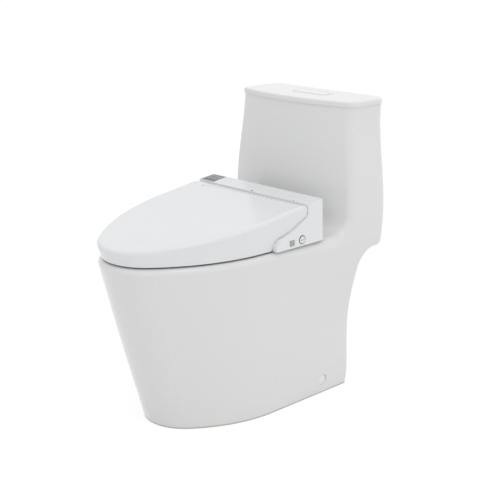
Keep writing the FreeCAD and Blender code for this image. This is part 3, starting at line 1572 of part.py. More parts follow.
def filter_and_gland():
    """Deodoriser cartridge and the cord's outlet bush."""
    case = block(96, 136, AXIS_Y + 34, AXIS_Y + 80, UNIT_BOTTOM + 3.1, RIM + 58)
    upright = edges_where(case, lambda b: b.ZLength > 30)
    case = case.makeFillet(4, upright)
    slots = [block(104 + 6 * i, 107 + 6 * i, AXIS_Y + 30, AXIS_Y + 60, RIM + 24, RIM + 50) for i in range(4)]
    for slot in slots:
        case = case.cut(slot)
    tunnel = block(-dim("plate_half_width") - 8.3, dim("plate_half_width") + 8.3, AXIS_Y, UNIT_BACK, RIM, RIM + 14.7)
    node(feature("deodoriser_filter", case.cut(tunnel)), "deodoriser_filter")
    start = gland_place()

    def along(radius, x0, x1):
        return rod(radius, start + Vector(x0, 0, 0), start + Vector(x1, 0, 0))

    bush = along(5, 8, -6).fuse([along(8, 0.3, -2.7), along(7, 7, 4.2)])
    node(feature("cord_gland", bush.cut(along(3.6, 12, -10)).removeSplitter()), "cord_gland")


water_heater()
control_board()
water_inlet()
dryer()
filter_and_gland()


# ---------------------------------------------------------------- floor fixings


def floor_fixings():
    """Angle brackets inside the skirt, their side screws and the snap caps."""
    side = dim("base_half_width")
    inner = side - dim("ceramic_wall")
    z = dim("side_fix_height")
    y = SIDE_FIX_Y
    leg = block(inner - 42, inner - 1, y - 20, y + 20, 0, 4)
    wall = block(inner - 5, inner - 1, y - 20, y + 20, 0, z + 22)
    bracket = leg.fuse(wall).removeSplitter()
    root = edges_where(bracket, lambda b: abs(b.XMin - inner + 5) < 0.01 and abs(b.ZMin - 4) < 0.01 and b.ZLength < 0.1)
    bracket = bracket.makeFillet(3, root)
    bracket = bracket.cut(rod(4.5, Vector(inner - 24, y, -2), Vector(inner - 24, y, 8)))
    bracket = bracket.cut(rod(2.5, Vector(inner - 10, y, z), Vector(inner + 5, y, z)))
    node(feature("floor_brackets", pair(bracket)), "floor_brackets")
    head = rod(6, Vector(side - 4.5, y, z), Vector(side - 1.5, y, z))
    shank = rod(2.5, Vector(inner - 14, y, z), Vector(side - 4, y, z))
    washer = rod(8.7, Vector(side - 6, y, z), Vector(side - 4.4, y, z))
    node(feature("side_screws", pair(shank.fuse([head, washer]).removeSplitter())), "side_screws")
    cap = rod(dim("side_cap_radius"), Vector(side - 0.5, y, z), Vector(side + 1.8, y, z))
    face = edges_where(cap, lambda b: b.XMin > side + 1.7)
    cap = cap.makeFillet(0.8, face)
    plug = rod(8.7, Vector(side - 1.4, y, z), Vector(side, y, z))
    node(feature("side_caps", pair(cap.fuse(plug).removeSplitter())), "side_caps")


def outlet_seal():
    """Rubber ring between the outlet spigot and the floor flange."""
    spigot = dim("trap_bore_radius") + dim("ceramic_wall")
    ring = turned(
        "outlet_seal",
        [
            (spigot + GAP, 0),
            (spigot + 14, 0),
            (spigot + 12, 14),
            (spigot + 5, 24),
            (spigot + GAP, 24),
        ],
        0,
        OUTLET_Y,
    )
    return node(ring, "outlet_seal")


floor_fixings()
outlet_seal()


# ---------------------------------------------------------------- checks and export

doc.recompute()
for item in doc.Objects:
    if "Invalid" in item.State or "Error" in item.State:
        raise RuntimeError(f"{item.Label} did not recompute")
for item in nodes:
    if item.Shape.isNull() or not item.Shape.isValid():
        raise RuntimeError(f"{item.Label} has no valid shape")

os.makedirs("parts", exist_ok=True)
for item in nodes:
    item.Shape.exportStep(f"parts/{item.Label}.step")
print(len(nodes), "sub-parts written")
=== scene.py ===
import math

import bpy
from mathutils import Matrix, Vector


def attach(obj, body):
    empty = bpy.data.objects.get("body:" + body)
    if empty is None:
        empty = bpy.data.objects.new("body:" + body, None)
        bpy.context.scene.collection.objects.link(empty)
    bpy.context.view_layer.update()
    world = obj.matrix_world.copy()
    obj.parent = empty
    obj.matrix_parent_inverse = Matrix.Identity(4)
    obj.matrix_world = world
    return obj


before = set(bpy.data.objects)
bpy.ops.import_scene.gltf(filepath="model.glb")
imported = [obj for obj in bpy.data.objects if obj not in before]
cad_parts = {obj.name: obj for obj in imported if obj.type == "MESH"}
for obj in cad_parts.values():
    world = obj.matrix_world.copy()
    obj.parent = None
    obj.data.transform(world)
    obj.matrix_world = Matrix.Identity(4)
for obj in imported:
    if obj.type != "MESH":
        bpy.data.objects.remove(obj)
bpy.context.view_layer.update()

# ---------------------------------------------------------------- bathroom floor and studio
# A pale floor and a white room round the toilet, with one weak soft lamp high on its left.
# The room's fill lies a little under 1, so pale colours render slightly darker than written.

scene = bpy.context.scene
scene.view_settings.view_transform = "Standard"
bpy.ops.object.select_all(action="DESELECT")

camera_spot = Vector((1.821, -1.710, 1.101))
camera_turn = math.radians(46.1)
camera_tip = math.radians(-15.8)
bpy.ops.object.camera_add(location=camera_spot, rotation=(math.pi / 2 + camera_tip, 0, camera_turn))
camera = bpy.context.object
camera.data.sensor_width = 36
camera.data.lens = 82.6
camera.data.clip_end = 60
scene.camera = camera

floor_size = 40.0
floor_white = 0.86
floor_rough = 0.9
floor_glow = 1.09
floor_glow_share = 0.8
bpy.ops.mesh.primitive_plane_add(size=floor_size, location=(0, 0, 0))
floor = bpy.context.object
floor.name = "studio_floor"
floor_paint = bpy.data.materials.new("studio_floor")
floor_paint.use_nodes = True
nodes = floor_paint.node_tree.nodes
links = floor_paint.node_tree.links
shade = nodes["Principled BSDF"]
shade.inputs["Base Color"].default_value = (floor_white, floor_white, floor_white, 1)
shade.inputs["Roughness"].default_value = floor_rough
lit = nodes.new("ShaderNodeEmission")
lit.inputs["Strength"].default_value = floor_glow
path = nodes.new("ShaderNodeLightPath")
seen = nodes.new("ShaderNodeMath")
seen.operation = "MAXIMUM"
links.new(path.outputs["Is Camera Ray"], seen.inputs[0])
links.new(path.outputs["Is Glossy Ray"], seen.inputs[1])
weaken = nodes.new("ShaderNodeMath")
weaken.operation = "MULTIPLY"
weaken.inputs[1].default_value = floor_glow_share
links.new(seen.outputs[0], weaken.inputs[0])
blend = nodes.new("ShaderNodeMixShader")
links.new(weaken.outputs[0], blend.inputs["Fac"])
links.new(shade.outputs["BSDF"], blend.inputs[1])
links.new(lit.outputs["Emission"], blend.inputs[2])
links.new(blend.outputs["Shader"], nodes["Material Output"].inputs["Surface"])
floor.data.materials.append(floor_paint)

# The room's light is a little stronger from above and weaker from the sitter's right.
room_level = 0.80
room_lean = (0.02, 0.02, 0.30)
dim_side = (-0.95, -0.30, 0.0)
dim_share = -0.30
fill_tint = (0.985, 0.99, 1.0)
world = bpy.data.worlds.new("studio")
scene.world = world
world.use_nodes = True
nodes = world.node_tree.nodes
links = world.node_tree.links
nodes.clear()
towards = nodes.new("ShaderNodeTexCoord")
lean = nodes.new("ShaderNodeVectorMath")
lean.operation = "DOT_PRODUCT"
lean.inputs[1].default_value = room_lean
links.new(towards.outputs["Generated"], lean.inputs[0])
level = nodes.new("ShaderNodeMath")
level.operation = "MULTIPLY_ADD"
level.inputs[1].default_value = room_level
level.inputs[2].default_value = room_level
links.new(lean.outputs["Value"], level.inputs[0])
shadow_side = nodes.new("ShaderNodeVectorMath")
shadow_side.operation = "DOT_PRODUCT"
shadow_side.inputs[1].default_value = dim_side
links.new(towards.outputs["Generated"], shadow_side.inputs[0])
only_there = nodes.new("ShaderNodeMath")
only_there.operation = "MAXIMUM"
links.new(shadow_side.outputs["Value"], only_there.inputs[0])
only_there.inputs[1].default_value = 0.0
shaded = nodes.new("ShaderNodeMath")
shaded.operation = "MULTIPLY_ADD"
links.new(only_there.outputs[0], shaded.inputs[0])
shaded.inputs[1].default_value = dim_share
links.new(level.outputs[0], shaded.inputs[2])
fill = nodes.new("ShaderNodeBackground")
fill.inputs["Color"].default_value = (*fill_tint, 1)
links.new(shaded.outputs[0], fill.inputs["Strength"])
white = nodes.new("ShaderNodeBackground")
white.inputs["Color"].default_value = (1, 1, 1, 1)
white.inputs["Strength"].default_value = 1.0
path = nodes.new("ShaderNodeLightPath")
direct = nodes.new("ShaderNodeMath")
direct.operation = "MAXIMUM"
links.new(path.outputs["Is Camera Ray"], direct.inputs[0])
links.new(path.outputs["Is Glossy Ray"], direct.inputs[1])
whole = nodes.new("ShaderNodeMath")
whole.operation = "MAXIMUM"
links.new(direct.outputs[0], whole.inputs[0])
links.new(path.outputs["Is Transmission Ray"], whole.inputs[1])
choose = nodes.new("ShaderNodeMixShader")
sky = nodes.new("ShaderNodeOutputWorld")
links.new(whole.outputs[0], choose.inputs["Fac"])
links.new(fill.outputs["Background"], choose.inputs[1])
links.new(white.outputs["Background"], choose.inputs[2])
links.new(choose.outputs["Shader"], sky.inputs["Surface"])

lamp_spot = Vector((1.6, -0.5, 2.7))
lamp_aim = Vector((0.1, 0.1, 0.45))
lamp_size = 0.9
lamp_power = 4
bpy.ops.object.light_add(type="AREA", location=lamp_spot)
lamp = bpy.context.object
lamp.name = "side_lamp"
lamp.data.size = lamp_size
lamp.data.energy = lamp_power
lamp.rotation_euler = (lamp_aim - lamp_spot).to_track_quat("-Z", "Y").to_euler()


# ---------------------------------------------------------------- china body and cistern lid
# One slip-cast piece of vitreous china, dipped in a clear white glaze and fired at 1200 C.
# The foot that stands on the floor is wiped clean of glaze and stays a matt biscuit colour.

def surface_group():
    """Low waves, fine grain and rare pores that every finish here uses in its own measure."""
    group = bpy.data.node_groups.new("surface_character", "ShaderNodeTree")
    face = group.interface
    for socket, kind, value in (
        ("Colour", "NodeSocketColor", (0.8, 0.8, 0.8, 1)),
        ("Tone", "NodeSocketFloat", 0.03),
        ("Wave Scale", "NodeSocketFloat", 6.0),
        ("Wave Height", "NodeSocketFloat", 0.2),
        ("Grain Scale", "NodeSocketFloat", 900.0),
        ("Grain Height", "NodeSocketFloat", 0.05),
        ("Roughness", "NodeSocketFloat", 0.2),
        ("Roughness Spread", "NodeSocketFloat", 0.05),
        ("Pores", "NodeSocketFloat", 0.0),
    ):
        made = face.new_socket(name=socket, in_out="INPUT", socket_type=kind)
        made.default_value = value
    for socket, kind in (
        ("Colour", "NodeSocketColor"),
        ("Roughness", "NodeSocketFloat"),
        ("Normal", "NodeSocketVector"),
    ):
        face.new_socket(name=socket, in_out="OUTPUT", socket_type=kind)
    n = group.nodes
    l = group.links
    pore_scale = 45.0
    pore_size = 0.022
    wave_depth = 0.002
    grain_depth = 0.0002

    def maths(kind, *values):
        made = n.new("ShaderNodeMath")
        made.operation = kind
        for slot_number, value in enumerate(values):
            if hasattr(value, "is_linked"):
                l.new(value, made.inputs[slot_number])
            else:
                made.inputs[slot_number].default_value = value
        return made.outputs[0]

    given = n.new("NodeGroupInput")
    out = n.new("NodeGroupOutput")
    place = n.new("ShaderNodeTexCoord")
    wave = n.new("ShaderNodeTexNoise")
    wave.inputs["Detail"].default_value = 2.0
    l.new(place.outputs["Object"], wave.inputs["Vector"])
    l.new(given.outputs["Wave Scale"], wave.inputs["Scale"])
    grain = n.new("ShaderNodeTexNoise")
    grain.inputs["Detail"].default_value = 1.0
    l.new(place.outputs["Object"], grain.inputs["Vector"])
    l.new(given.outputs["Grain Scale"], grain.inputs["Scale"])
    pore = n.new("ShaderNodeTexVoronoi")
    pore.inputs["Scale"].default_value = pore_scale
    l.new(place.outputs["Object"], pore.inputs["Vector"])
    swing = maths("SUBTRACT", wave.outputs["Fac"], 0.5)
    gain = maths("MULTIPLY_ADD", swing, given.outputs["Tone"], 1.0)
    dot = maths("LESS_THAN", pore.outputs["Distance"], pore_size)
    darken = maths("MULTIPLY", dot, given.outputs["Pores"])
    shown = maths("SUBTRACT", gain, darken)
    tone = n.new("ShaderNodeVectorMath")
    tone.operation = "SCALE"
    l.new(given.outputs["Colour"], tone.inputs[0])
    l.new(shown, tone.inputs["Scale"])
    l.new(tone.outputs["Vector"], out.inputs["Colour"])
    rough = maths(
        "MULTIPLY_ADD", swing, given.outputs["Roughness Spread"], given.outputs["Roughness"],
    )
    l.new(rough, out.inputs["Roughness"])
    low = n.new("ShaderNodeBump")
    low.inputs["Distance"].default_value = wave_depth
    l.new(given.outputs["Wave Height"], low.inputs["Strength"])
    l.new(wave.outputs["Fac"], low.inputs["Height"])
    fine = n.new("ShaderNodeBump")
    fine.inputs["Distance"].default_value = grain_depth
    l.new(given.outputs["Grain Height"], fine.inputs["Strength"])
    l.new(grain.outputs["Fac"], fine.inputs["Height"])
    l.new(low.outputs["Normal"], fine.inputs["Normal"])
    l.new(fine.outputs["Normal"], out.inputs["Normal"])
    return group


character = surface_group()
coat_rough = 0.04


def finish(name, colour, rough, metal=0.0, coat=0.0, **measure):
    """A Principled finish whose colour, roughness and normal come from the surface group."""
    made = bpy.data.materials.new(name)
    made.use_nodes = True
    n = made.node_tree.nodes
    l = made.node_tree.links
    shader = n["Principled BSDF"]
    group = n.new("ShaderNodeGroup")
    group.name = "character"
    group.node_tree = character
    group.inputs["Colour"].default_value = (*colour, 1)
    group.inputs["Roughness"].default_value = rough
    for socket, value in measure.items():
        group.inputs[socket.replace("_", " ")].default_value = value
    l.new(group.outputs["Colour"], shader.inputs["Base Color"])
    l.new(group.outputs["Roughness"], shader.inputs["Roughness"])
    l.new(group.outputs["Normal"], shader.inputs["Normal"])
    shader.inputs["Metallic"].default_value = metal
    shader.inputs["Coat Weight"].default_value = coat
    shader.inputs["Coat Roughness"].default_value = coat_rough
    return made


def dress(material, *names):
    """Puts one finish on CAD nodes."""
    for name in names:
        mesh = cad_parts[name].data
        mesh.materials.clear()
        mesh.materials.append(material)


def bare_foot(material, glaze_line, fade, biscuit, biscuit_rough):
    """Leaves a glazed finish matt and biscuit coloured below the glaze line."""
    n = material.node_tree.nodes
    l = material.node_tree.links
    shader = n["Principled BSDF"]
    place = n.new("ShaderNodeTexCoord")
    split = n.new("ShaderNodeSeparateXYZ")
    l.new(place.outputs["Object"], split.inputs[0])
    edge = n.new("ShaderNodeMapRange")
    edge.inputs["From Min"].default_value = glaze_line
    edge.inputs["From Max"].default_value = glaze_line + fade
    l.new(split.outputs["Z"], edge.inputs["Value"])
    # Socket numbers of the Mix node: the numbers' sockets first, then the colours'.
    share, low_value, high_value, mixed_value = 0, 2, 3, 0
    low_colour, high_colour, mixed_colour = 6, 7, 2
    hue = n.new("ShaderNodeMix")
    hue.data_type = "RGBA"
    hue.inputs[low_colour].default_value = (*biscuit, 1)
    l.new(edge.outputs["Result"], hue.inputs[share])
    l.new(n["character"].outputs["Colour"], hue.inputs[high_colour])
    l.new(hue.outputs[mixed_colour], shader.inputs["Base Color"])
    dull = n.new("ShaderNodeMix")
    dull.inputs[low_value].default_value = biscuit_rough
    l.new(edge.outputs["Result"], dull.inputs[share])
    l.new(n["character"].outputs["Roughness"], dull.inputs[high_value])
    l.new(dull.outputs[mixed_value], shader.inputs["Roughness"])


glaze = finish(
    "white_glaze", (0.795, 0.795, 0.785), 0.09, coat=0.35,
    Tone=0.02, Wave_Scale=5.0, Wave_Height=0.12, Grain_Scale=700.0, Grain_Height=0.02,
    Roughness_Spread=0.05, Pores=0.02,
)
bare_foot(glaze, glaze_line=0.003, fade=0.0015, biscuit=(0.56, 0.53, 0.47), biscuit_rough=0.8)
dress(glaze, "ceramic_body", "tank_lid")

# ---------------------------------------------------------------- flush buttons
# Two plated pads in a plated bezel that is clipped into the lid's slot.
# The full flush pad carries a raised ring and the half flush pad a raised half ring.

plate = finish(
    "satin_plating", (0.86, 0.87, 0.88), 0.26, metal=1.0,
    Tone=0.04, Wave_Scale=30.0, Wave_Height=0.02, Grain_Scale=2500.0, Grain_Height=0.05,
    Roughness_Spread=0.10,
)
dress(plate, "flush_button_frame", "full_flush_button", "half_flush_button")
smooth_below = math.radians(35)


def settle(piece, name, material, body):
    """Applies a new piece's place and size, then names, paints and hangs it on its body."""
    bpy.ops.object.select_all(action="DESELECT")
    piece.select_set(True)
    bpy.context.view_layer.objects.active = piece
    bpy.ops.object.transform_apply(location=True, rotation=True, scale=True)
    bpy.ops.object.shade_smooth_by_angle(angle=smooth_below)
    piece.name = name
    piece.data.name = name
    piece.data.materials.clear()
    piece.data.materials.append(material)
    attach(piece, body)


def twin(piece, name):
    """A second copy of a piece with a mesh of its own, not yet settled."""
    made = piece.copy()
    made.data = piece.data.copy()
    made.name = name
    bpy.context.collection.objects.link(made)
    return made


pad_top = 0.7172
mark_radius = 0.0062
mark_wire = 0.00045
full_mark_spot = (-0.0182, 0.290, pad_top)
half_mark_spot = (0.0278, 0.290, pad_top)

bpy.ops.object.select_all(action="DESELECT")
bpy.ops.mesh.primitive_torus_add(
    major_radius=mark_radius, minor_radius=mark_wire, major_segments=48, minor_segments=10,
    location=full_mark_spot,
)
full_mark = bpy.context.object
half_mark = twin(full_mark, "half_flush_mark")
half_mark.location = half_mark_spot
settle(full_mark, "full_flush_mark", plate, "full_button")
bpy.ops.object.select_all(action="DESELECT")
half_mark.select_set(True)
bpy.context.view_layer.objects.active = half_mark
bpy.ops.object.mode_set(mode="EDIT")
bpy.ops.mesh.select_all(action="SELECT")
bpy.ops.mesh.bisect(
    plane_co=half_mark_spot, plane_no=(0, 1, 0), use_fill=True, clear_inner=True,
)
bpy.ops.object.mode_set(mode="OBJECT")
settle(half_mark, "half_flush_mark", plate, "half_button")

# ---------------------------------------------------------------- seat unit, seat and lid
# Gloss white injection mouldings, a little cooler than the china and faintly waved by the mould.
# The drain knob, the nozzle wands and the side caps are of the same plastic.

gloss = finish(
    "white_gloss_plastic", (0.83, 0.84, 0.85), 0.20, coat=0.2,
    Tone=0.01, Wave_Scale=18.0, Wave_Height=0.04, Grain_Scale=1800.0, Grain_Height=0.05,
    Roughness_Spread=0.05,
)
dress(
    gloss, "housing_cover", "lid_shell", "seat_upper_shell", "seat_lower_shell",
    "drain_plug", "side_caps", "rear_nozzle", "front_nozzle",
)

# ---------------------------------------------------------------- control panel
# A grey gloss panel let into the housing's right-hand end, with five moulded membrane keys,
# two small lamps, a ringed infrared window and a satin trim bar along its front edge.

panel = finish(
    "grey_panel", (0.13, 0.135, 0.14), 0.18, coat=0.4,
    Tone=0.04, Wave_Scale=40.0, Wave_Height=0.02, Grain_Scale=3000.0, Grain_Height=0.08,
    Roughness_Spread=0.05,
)
dress(panel, "display_panel")
lens = finish(
    "dark_window", (0.01, 0.01, 0.012), 0.06, coat=0.6,
    Tone=0.02, Wave_Scale=40.0, Wave_Height=0.01, Grain_Scale=3000.0, Grain_Height=0.01,
    Roughness_Spread=0.02,
)
dress(lens, "sensor_window")
silver = finish(
    "satin_silver", (0.55, 0.56, 0.57), 0.32, metal=0.6, coat=0.2,
    Tone=0.04, Wave_Scale=60.0, Wave_Height=0.02, Grain_Scale=2600.0, Grain_Height=0.1,
    Roughness_Spread=0.08,
)
key_grey = finish(
    "key_grey", (0.20, 0.205, 0.21), 0.38,
    Tone=0.04, Wave_Scale=60.0, Wave_Height=0.03, Grain_Scale=1800.0, Grain_Height=0.3,
    Roughness_Spread=0.08,
)
signal = finish(
    "signal_lens", (0.10, 0.12, 0.12), 0.15, coat=0.5,
    Tone=0.05, Wave_Scale=60.0, Wave_Height=0.02, Grain_Scale=1800.0, Grain_Height=0.05,
    Roughness_Spread=0.05,
)

unit_tilt = math.radians(7.2)
unit_slope = math.tan(unit_tilt)
unit_edge_y = 0.084
unit_edge_z = 0.49971


def unit_top(y):
    """Height of the seat unit's sloping top at a depth y."""
    return unit_edge_z + (y - unit_edge_y) * unit_slope


key_radius = 0.0030
key_depth = 0.0012
key_stretch = 1.45
key_edge = 0.00035
key_row_y = 0.0935
key_first_x = -0.1765
key_pitch = 0.0086
key_count = 5
bpy.ops.object.select_all(action="DESELECT")
bpy.ops.mesh.primitive_cylinder_add(
    vertices=40, radius=key_radius, depth=key_depth,
    location=(key_first_x, key_row_y, unit_top(key_row_y)),
    rotation=(unit_tilt, 0, 0),
)
first_key = bpy.context.object
first_key.scale = (1.0, key_stretch, 1.0)
bpy.ops.object.mode_set(mode="EDIT")
bpy.ops.mesh.select_all(action="SELECT")
bpy.ops.mesh.bevel(offset=key_edge, segments=3, affect="EDGES")
bpy.ops.object.mode_set(mode="OBJECT")
keys = [first_key]
for number in range(1, key_count):
    key = twin(first_key, "panel_key")
    key.location.x = key_first_x + number * key_pitch
    keys.append(key)
for number, key in enumerate(keys):
    settle(key, f"panel_key_{number + 1}", key_grey, "seat_unit")

signal_radius = 0.0011
signal_flat = 0.5
signal_row_y = 0.1045
signal_places = (-0.1500, -0.1435)
for number, x in enumerate(signal_places):
    bpy.ops.object.select_all(action="DESELECT")
    bpy.ops.mesh.primitive_uv_sphere_add(
        segments=24, ring_count=12, radius=signal_radius,
        location=(x, signal_row_y, unit_top(signal_row_y)), rotation=(unit_tilt, 0, 0),
        scale=(1.0, 1.0, signal_flat),
    )
    settle(bpy.context.object, f"panel_lamp_{number + 1}", signal, "seat_unit")

window_x = -0.169
window_y = 0.112
ring_radius = 0.0089
ring_wire = 0.00042
ring_squash = 0.61
ring_lift = 0.0001
bpy.ops.object.select_all(action="DESELECT")
bpy.ops.mesh.primitive_torus_add(
    major_radius=ring_radius, minor_radius=ring_wire, major_segments=64, minor_segments=10,
    location=(window_x, window_y, unit_top(window_y) + ring_lift), rotation=(unit_tilt, 0, 0),
)
window_ring = bpy.context.object
window_ring.scale = (1.0, ring_squash, 1.0)
settle(window_ring, "window_ring", silver, "seat_unit")


def rounded_bar(middle, size, edge, segments, tilt=0.0):
    """A block with rounded edges, tilted about X and not yet settled."""
    bpy.ops.object.select_all(action="DESELECT")
    bpy.ops.mesh.primitive_cube_add(size=1, location=middle, rotation=(tilt, 0, 0), scale=size)
    made = bpy.context.object
    bpy.ops.object.transform_apply(location=False, rotation=False, scale=True)
    bpy.ops.object.mode_set(mode="EDIT")
    bpy.ops.mesh.select_all(action="SELECT")
    bpy.ops.mesh.bevel(offset=edge, segments=segments, affect="EDGES")
    bpy.ops.object.mode_set(mode="OBJECT")
    return made


trim_low = Vector((-0.1835, 0.0797, 0.4955))
trim_high = Vector((-0.1362, 0.0826, 0.5003))
trim_edge = 0.0009
trim = rounded_bar((trim_low + trim_high) / 2, trim_high - trim_low, trim_edge, 4)
settle(trim, "panel_trim", silver, "seat_unit")

# ---------------------------------------------------------------- hinge seal
# A white elastomer strip along the housing's front top edge narrows the gap behind the lid.
# It is pushed into the edge and stays clear of the lid as the lid turns.

seal_white = finish(
    "seal_white", (0.80, 0.80, 0.80), 0.5,
    Tone=0.02, Wave_Scale=60.0, Wave_Height=0.04, Grain_Scale=1500.0, Grain_Height=0.25,
    Roughness_Spread=0.08,
)
seal_low = Vector((-0.1358, 0.0797, 0.4940))
seal_high = Vector((0.1480, 0.0822, 0.4989))
seal_edge = 0.0012
seal = rounded_bar((seal_low + seal_high) / 2, seal_high - seal_low, seal_edge, 4)
settle(seal, "hinge_seal", seal_white, "seat_unit")

# ---------------------------------------------------------------- status window and light sensor
# A smoked lens strip at the middle of the housing's front edge shows that the seat is on.
# A pin-head light sensor sits at the left-hand end of the same edge.

strip_length = 0.0085
strip_width = 0.0021
strip_depth = 0.001
strip_edge = 0.0002
strip_spot = (-0.001, 0.0835)
bpy.ops.object.select_all(action="DESELECT")
bpy.ops.mesh.primitive_cylinder_add(
    vertices=32, radius=strip_width / 2, depth=strip_depth,
    location=(*strip_spot, unit_top(strip_spot[1])), rotation=(unit_tilt, 0, 0),
)
strip = bpy.context.object
bpy.ops.object.mode_set(mode="EDIT")
bpy.ops.mesh.select_all(action="DESELECT")
bpy.ops.object.mode_set(mode="OBJECT")
for corner in strip.data.vertices:
    corner.select = corner.co.x > 0.00001
bpy.ops.object.mode_set(mode="EDIT")
bpy.ops.transform.translate(value=(strip_length - strip_width, 0, 0))
bpy.ops.mesh.select_all(action="SELECT")
bpy.ops.mesh.bevel(offset=strip_edge, segments=2, affect="EDGES")
bpy.ops.object.mode_set(mode="OBJECT")
strip.location.x -= (strip_length - strip_width) / 2
settle(strip, "status_window", signal, "seat_unit")

sensor_x = 0.136
sensor_y = 0.0825
sensor_radius = 0.0014
sensor_flat = 0.6
bpy.ops.object.select_all(action="DESELECT")
bpy.ops.mesh.primitive_uv_sphere_add(
    segments=24, ring_count=12, radius=sensor_radius,
    location=(sensor_x, sensor_y, unit_top(sensor_y)), scale=(1.0, 1.0, sensor_flat),
)
settle(bpy.context.object, "light_sensor", signal, "seat_unit")

# ---------------------------------------------------------------- lid slit
# A short slit runs back from a round end on the lid's right-hand side, near the hinge.
# Its shade is painted: a near-black strip almost flush with the lid stands in for the shadow in the
# slit, and stays clear of the housing as the lid opens.

# Painted shade: this near-black finish stands in for the shadow in the lid's slit and round the
# drain knob.
painted_shade_fill = finish(
    "painted_shade_dark", (0.035, 0.035, 0.04), 0.55,
    Tone=0.1, Wave_Scale=80.0, Wave_Height=0.04, Grain_Scale=1500.0, Grain_Height=0.3,
    Roughness_Spread=0.08,
)
slit_width = 0.0013
slit_depth = 0.0006
slit_end_spot = (-0.132, 0.0425, 0.49572)
slit_end_radius = 0.0023
slit_end_flat = 0.16
lid_pitch = math.radians(7.8)
slit_runs = (
    ((-0.1321, 0.0430, 0.49583), (-0.1336, 0.0575, 0.49768)),
    ((-0.1336, 0.0575, 0.49768), (-0.1340, 0.0660, 0.49775)),
)
for number, (start, end) in enumerate(slit_runs):
    start = Vector(start)
    end = Vector(end)
    bpy.ops.object.select_all(action="DESELECT")
    bpy.ops.mesh.primitive_cube_add(size=1, location=(start + end) / 2)
    run = bpy.context.object
    run.scale = (slit_width, (end - start).length, slit_depth)
    run.rotation_euler = (end - start).to_track_quat("Y", "Z").to_euler()
    settle(run, f"lid_slit_{number + 1}", painted_shade_fill, "lid")
bpy.ops.object.select_all(action="DESELECT")
bpy.ops.mesh.primitive_uv_sphere_add(
    segments=28, ring_count=14, radius=slit_end_radius,
    location=slit_end_spot, scale=(1.0, 1.0, slit_end_flat), rotation=(lid_pitch, 0, 0),
)
settle(bpy.context.object, "lid_slit_end", painted_shade_fill, "lid")

# ---------------------------------------------------------------- release button and drain knob
# The release button is a grey moulding let into the housing's left-hand cheek.
# The drain knob behind it is a white screw plug with a grey centre disc, and the dark ring round it
# is painted shade for the groove at its edge.

button_grey = finish(
    "button_grey", (0.40, 0.41, 0.42), 0.34,
    Tone=0.04, Wave_Scale=50.0, Wave_Height=0.03, Grain_Scale=1500.0, Grain_Height=0.25,
    Roughness_Spread=0.08,
)
dress(button_grey, "release_button")

knob_axis_y = 0.058
knob_axis_z = 0.4215
cheek_x = 0.1873
knob_floor_x = 0.1869
knob_shade_ring_radius = 0.0094
knob_shade_ring_wire = 0.0009
disc_radius = 0.0034
disc_flat = 0.35
# Painted shade: a near-black ring round the knob stands in for the shaded groove at its edge.
bpy.ops.object.select_all(action="DESELECT")
bpy.ops.mesh.primitive_torus_add(
    major_radius=knob_shade_ring_radius, minor_radius=knob_shade_ring_wire,
    major_segments=64, minor_segments=12,
    location=(cheek_x, knob_axis_y, knob_axis_z), rotation=(0, math.pi / 2, 0),
)
settle(bpy.context.object, "drain_painted_shade_ring", painted_shade_fill, "seat_unit")
bpy.ops.object.select_all(action="DESELECT")
bpy.ops.mesh.primitive_uv_sphere_add(
    segments=32, ring_count=16, radius=disc_radius,
    location=(knob_floor_x, knob_axis_y, knob_axis_z), scale=(disc_flat, 1.0, 1.0),
)
settle(bpy.context.object, "drain_disc", button_grey, "drain")

# ---------------------------------------------------------------- warm-air louvre
# Five angled slats moulded across the mouth of the dryer's duct spread the warm air.
# They are of the same gloss plastic as the housing's cover.

outlet_x = 0.046
outlet_y = 0.0485
slat_low_z = 0.4150
slat_pitch = 0.0022
slat_count = 5
slat_size = (0.0196, 0.0034, 0.0007)
slat_tilt = math.radians(-28)
slat_edge = 0.00022
for number in range(slat_count):
    slat_place = (outlet_x, outlet_y, slat_low_z + number * slat_pitch)
    slat = rounded_bar(slat_place, slat_size, slat_edge, 2, slat_tilt)
    settle(slat, f"air_slat_{number + 1}", gloss, "seat_unit")

# ---------------------------------------------------------------- cistern fittings
# Moulded white and blue pieces of the flush valve and the fill valve, with rubber seals.
# The photo hides them all, so they have the finishes that such valves usually have.

moulded = finish(
    "white_moulding", (0.76, 0.77, 0.76), 0.45,
    Tone=0.03, Wave_Scale=25.0, Wave_Height=0.04, Grain_Scale=1500.0, Grain_Height=0.3,
    Roughness_Spread=0.08,
)
dress(moulded, "flush_valve_tower", "fill_valve_body", "fill_valve_nut")
blue = finish(
    "blue_moulding", (0.09, 0.18, 0.34), 0.42,
    Tone=0.05, Wave_Scale=25.0, Wave_Height=0.04, Grain_Scale=1500.0, Grain_Height=0.3,
    Roughness_Spread=0.08,
)
dress(blue, "flush_canister", "fill_valve_float", "solenoid_valve")
red_rubber = finish(
    "red_silicone", (0.36, 0.05, 0.03), 0.6,
    Tone=0.08, Wave_Scale=60.0, Wave_Height=0.05, Grain_Scale=1500.0, Grain_Height=0.2,
    Roughness_Spread=0.1,
)
dress(red_rubber, "flush_valve_seal")
black_rubber = finish(
    "black_rubber", (0.018, 0.018, 0.018), 0.7,
    Tone=0.2, Wave_Scale=60.0, Wave_Height=0.05, Grain_Scale=1500.0, Grain_Height=0.4,
    Roughness_Spread=0.1,
)
dress(black_rubber, "flush_valve_gasket", "fill_valve_gasket", "outlet_seal", "deck_sleeves")

# ---------------------------------------------------------------- hose threads
# Half-inch pipe threads, 14 turns to the inch, on the seat unit's brass inlet and on the
# plastic shank of the fill valve. Both are one thread form, moulded or cut on the shank.

brass = finish(
    "nickelled_brass", (0.60, 0.52, 0.36), 0.25, metal=1.0,
    Tone=0.08, Wave_Scale=50.0, Wave_Height=0.03, Grain_Scale=1200.0, Grain_Height=0.2,
    Roughness_Spread=0.1,
)
dress(brass, "inlet_fitting")

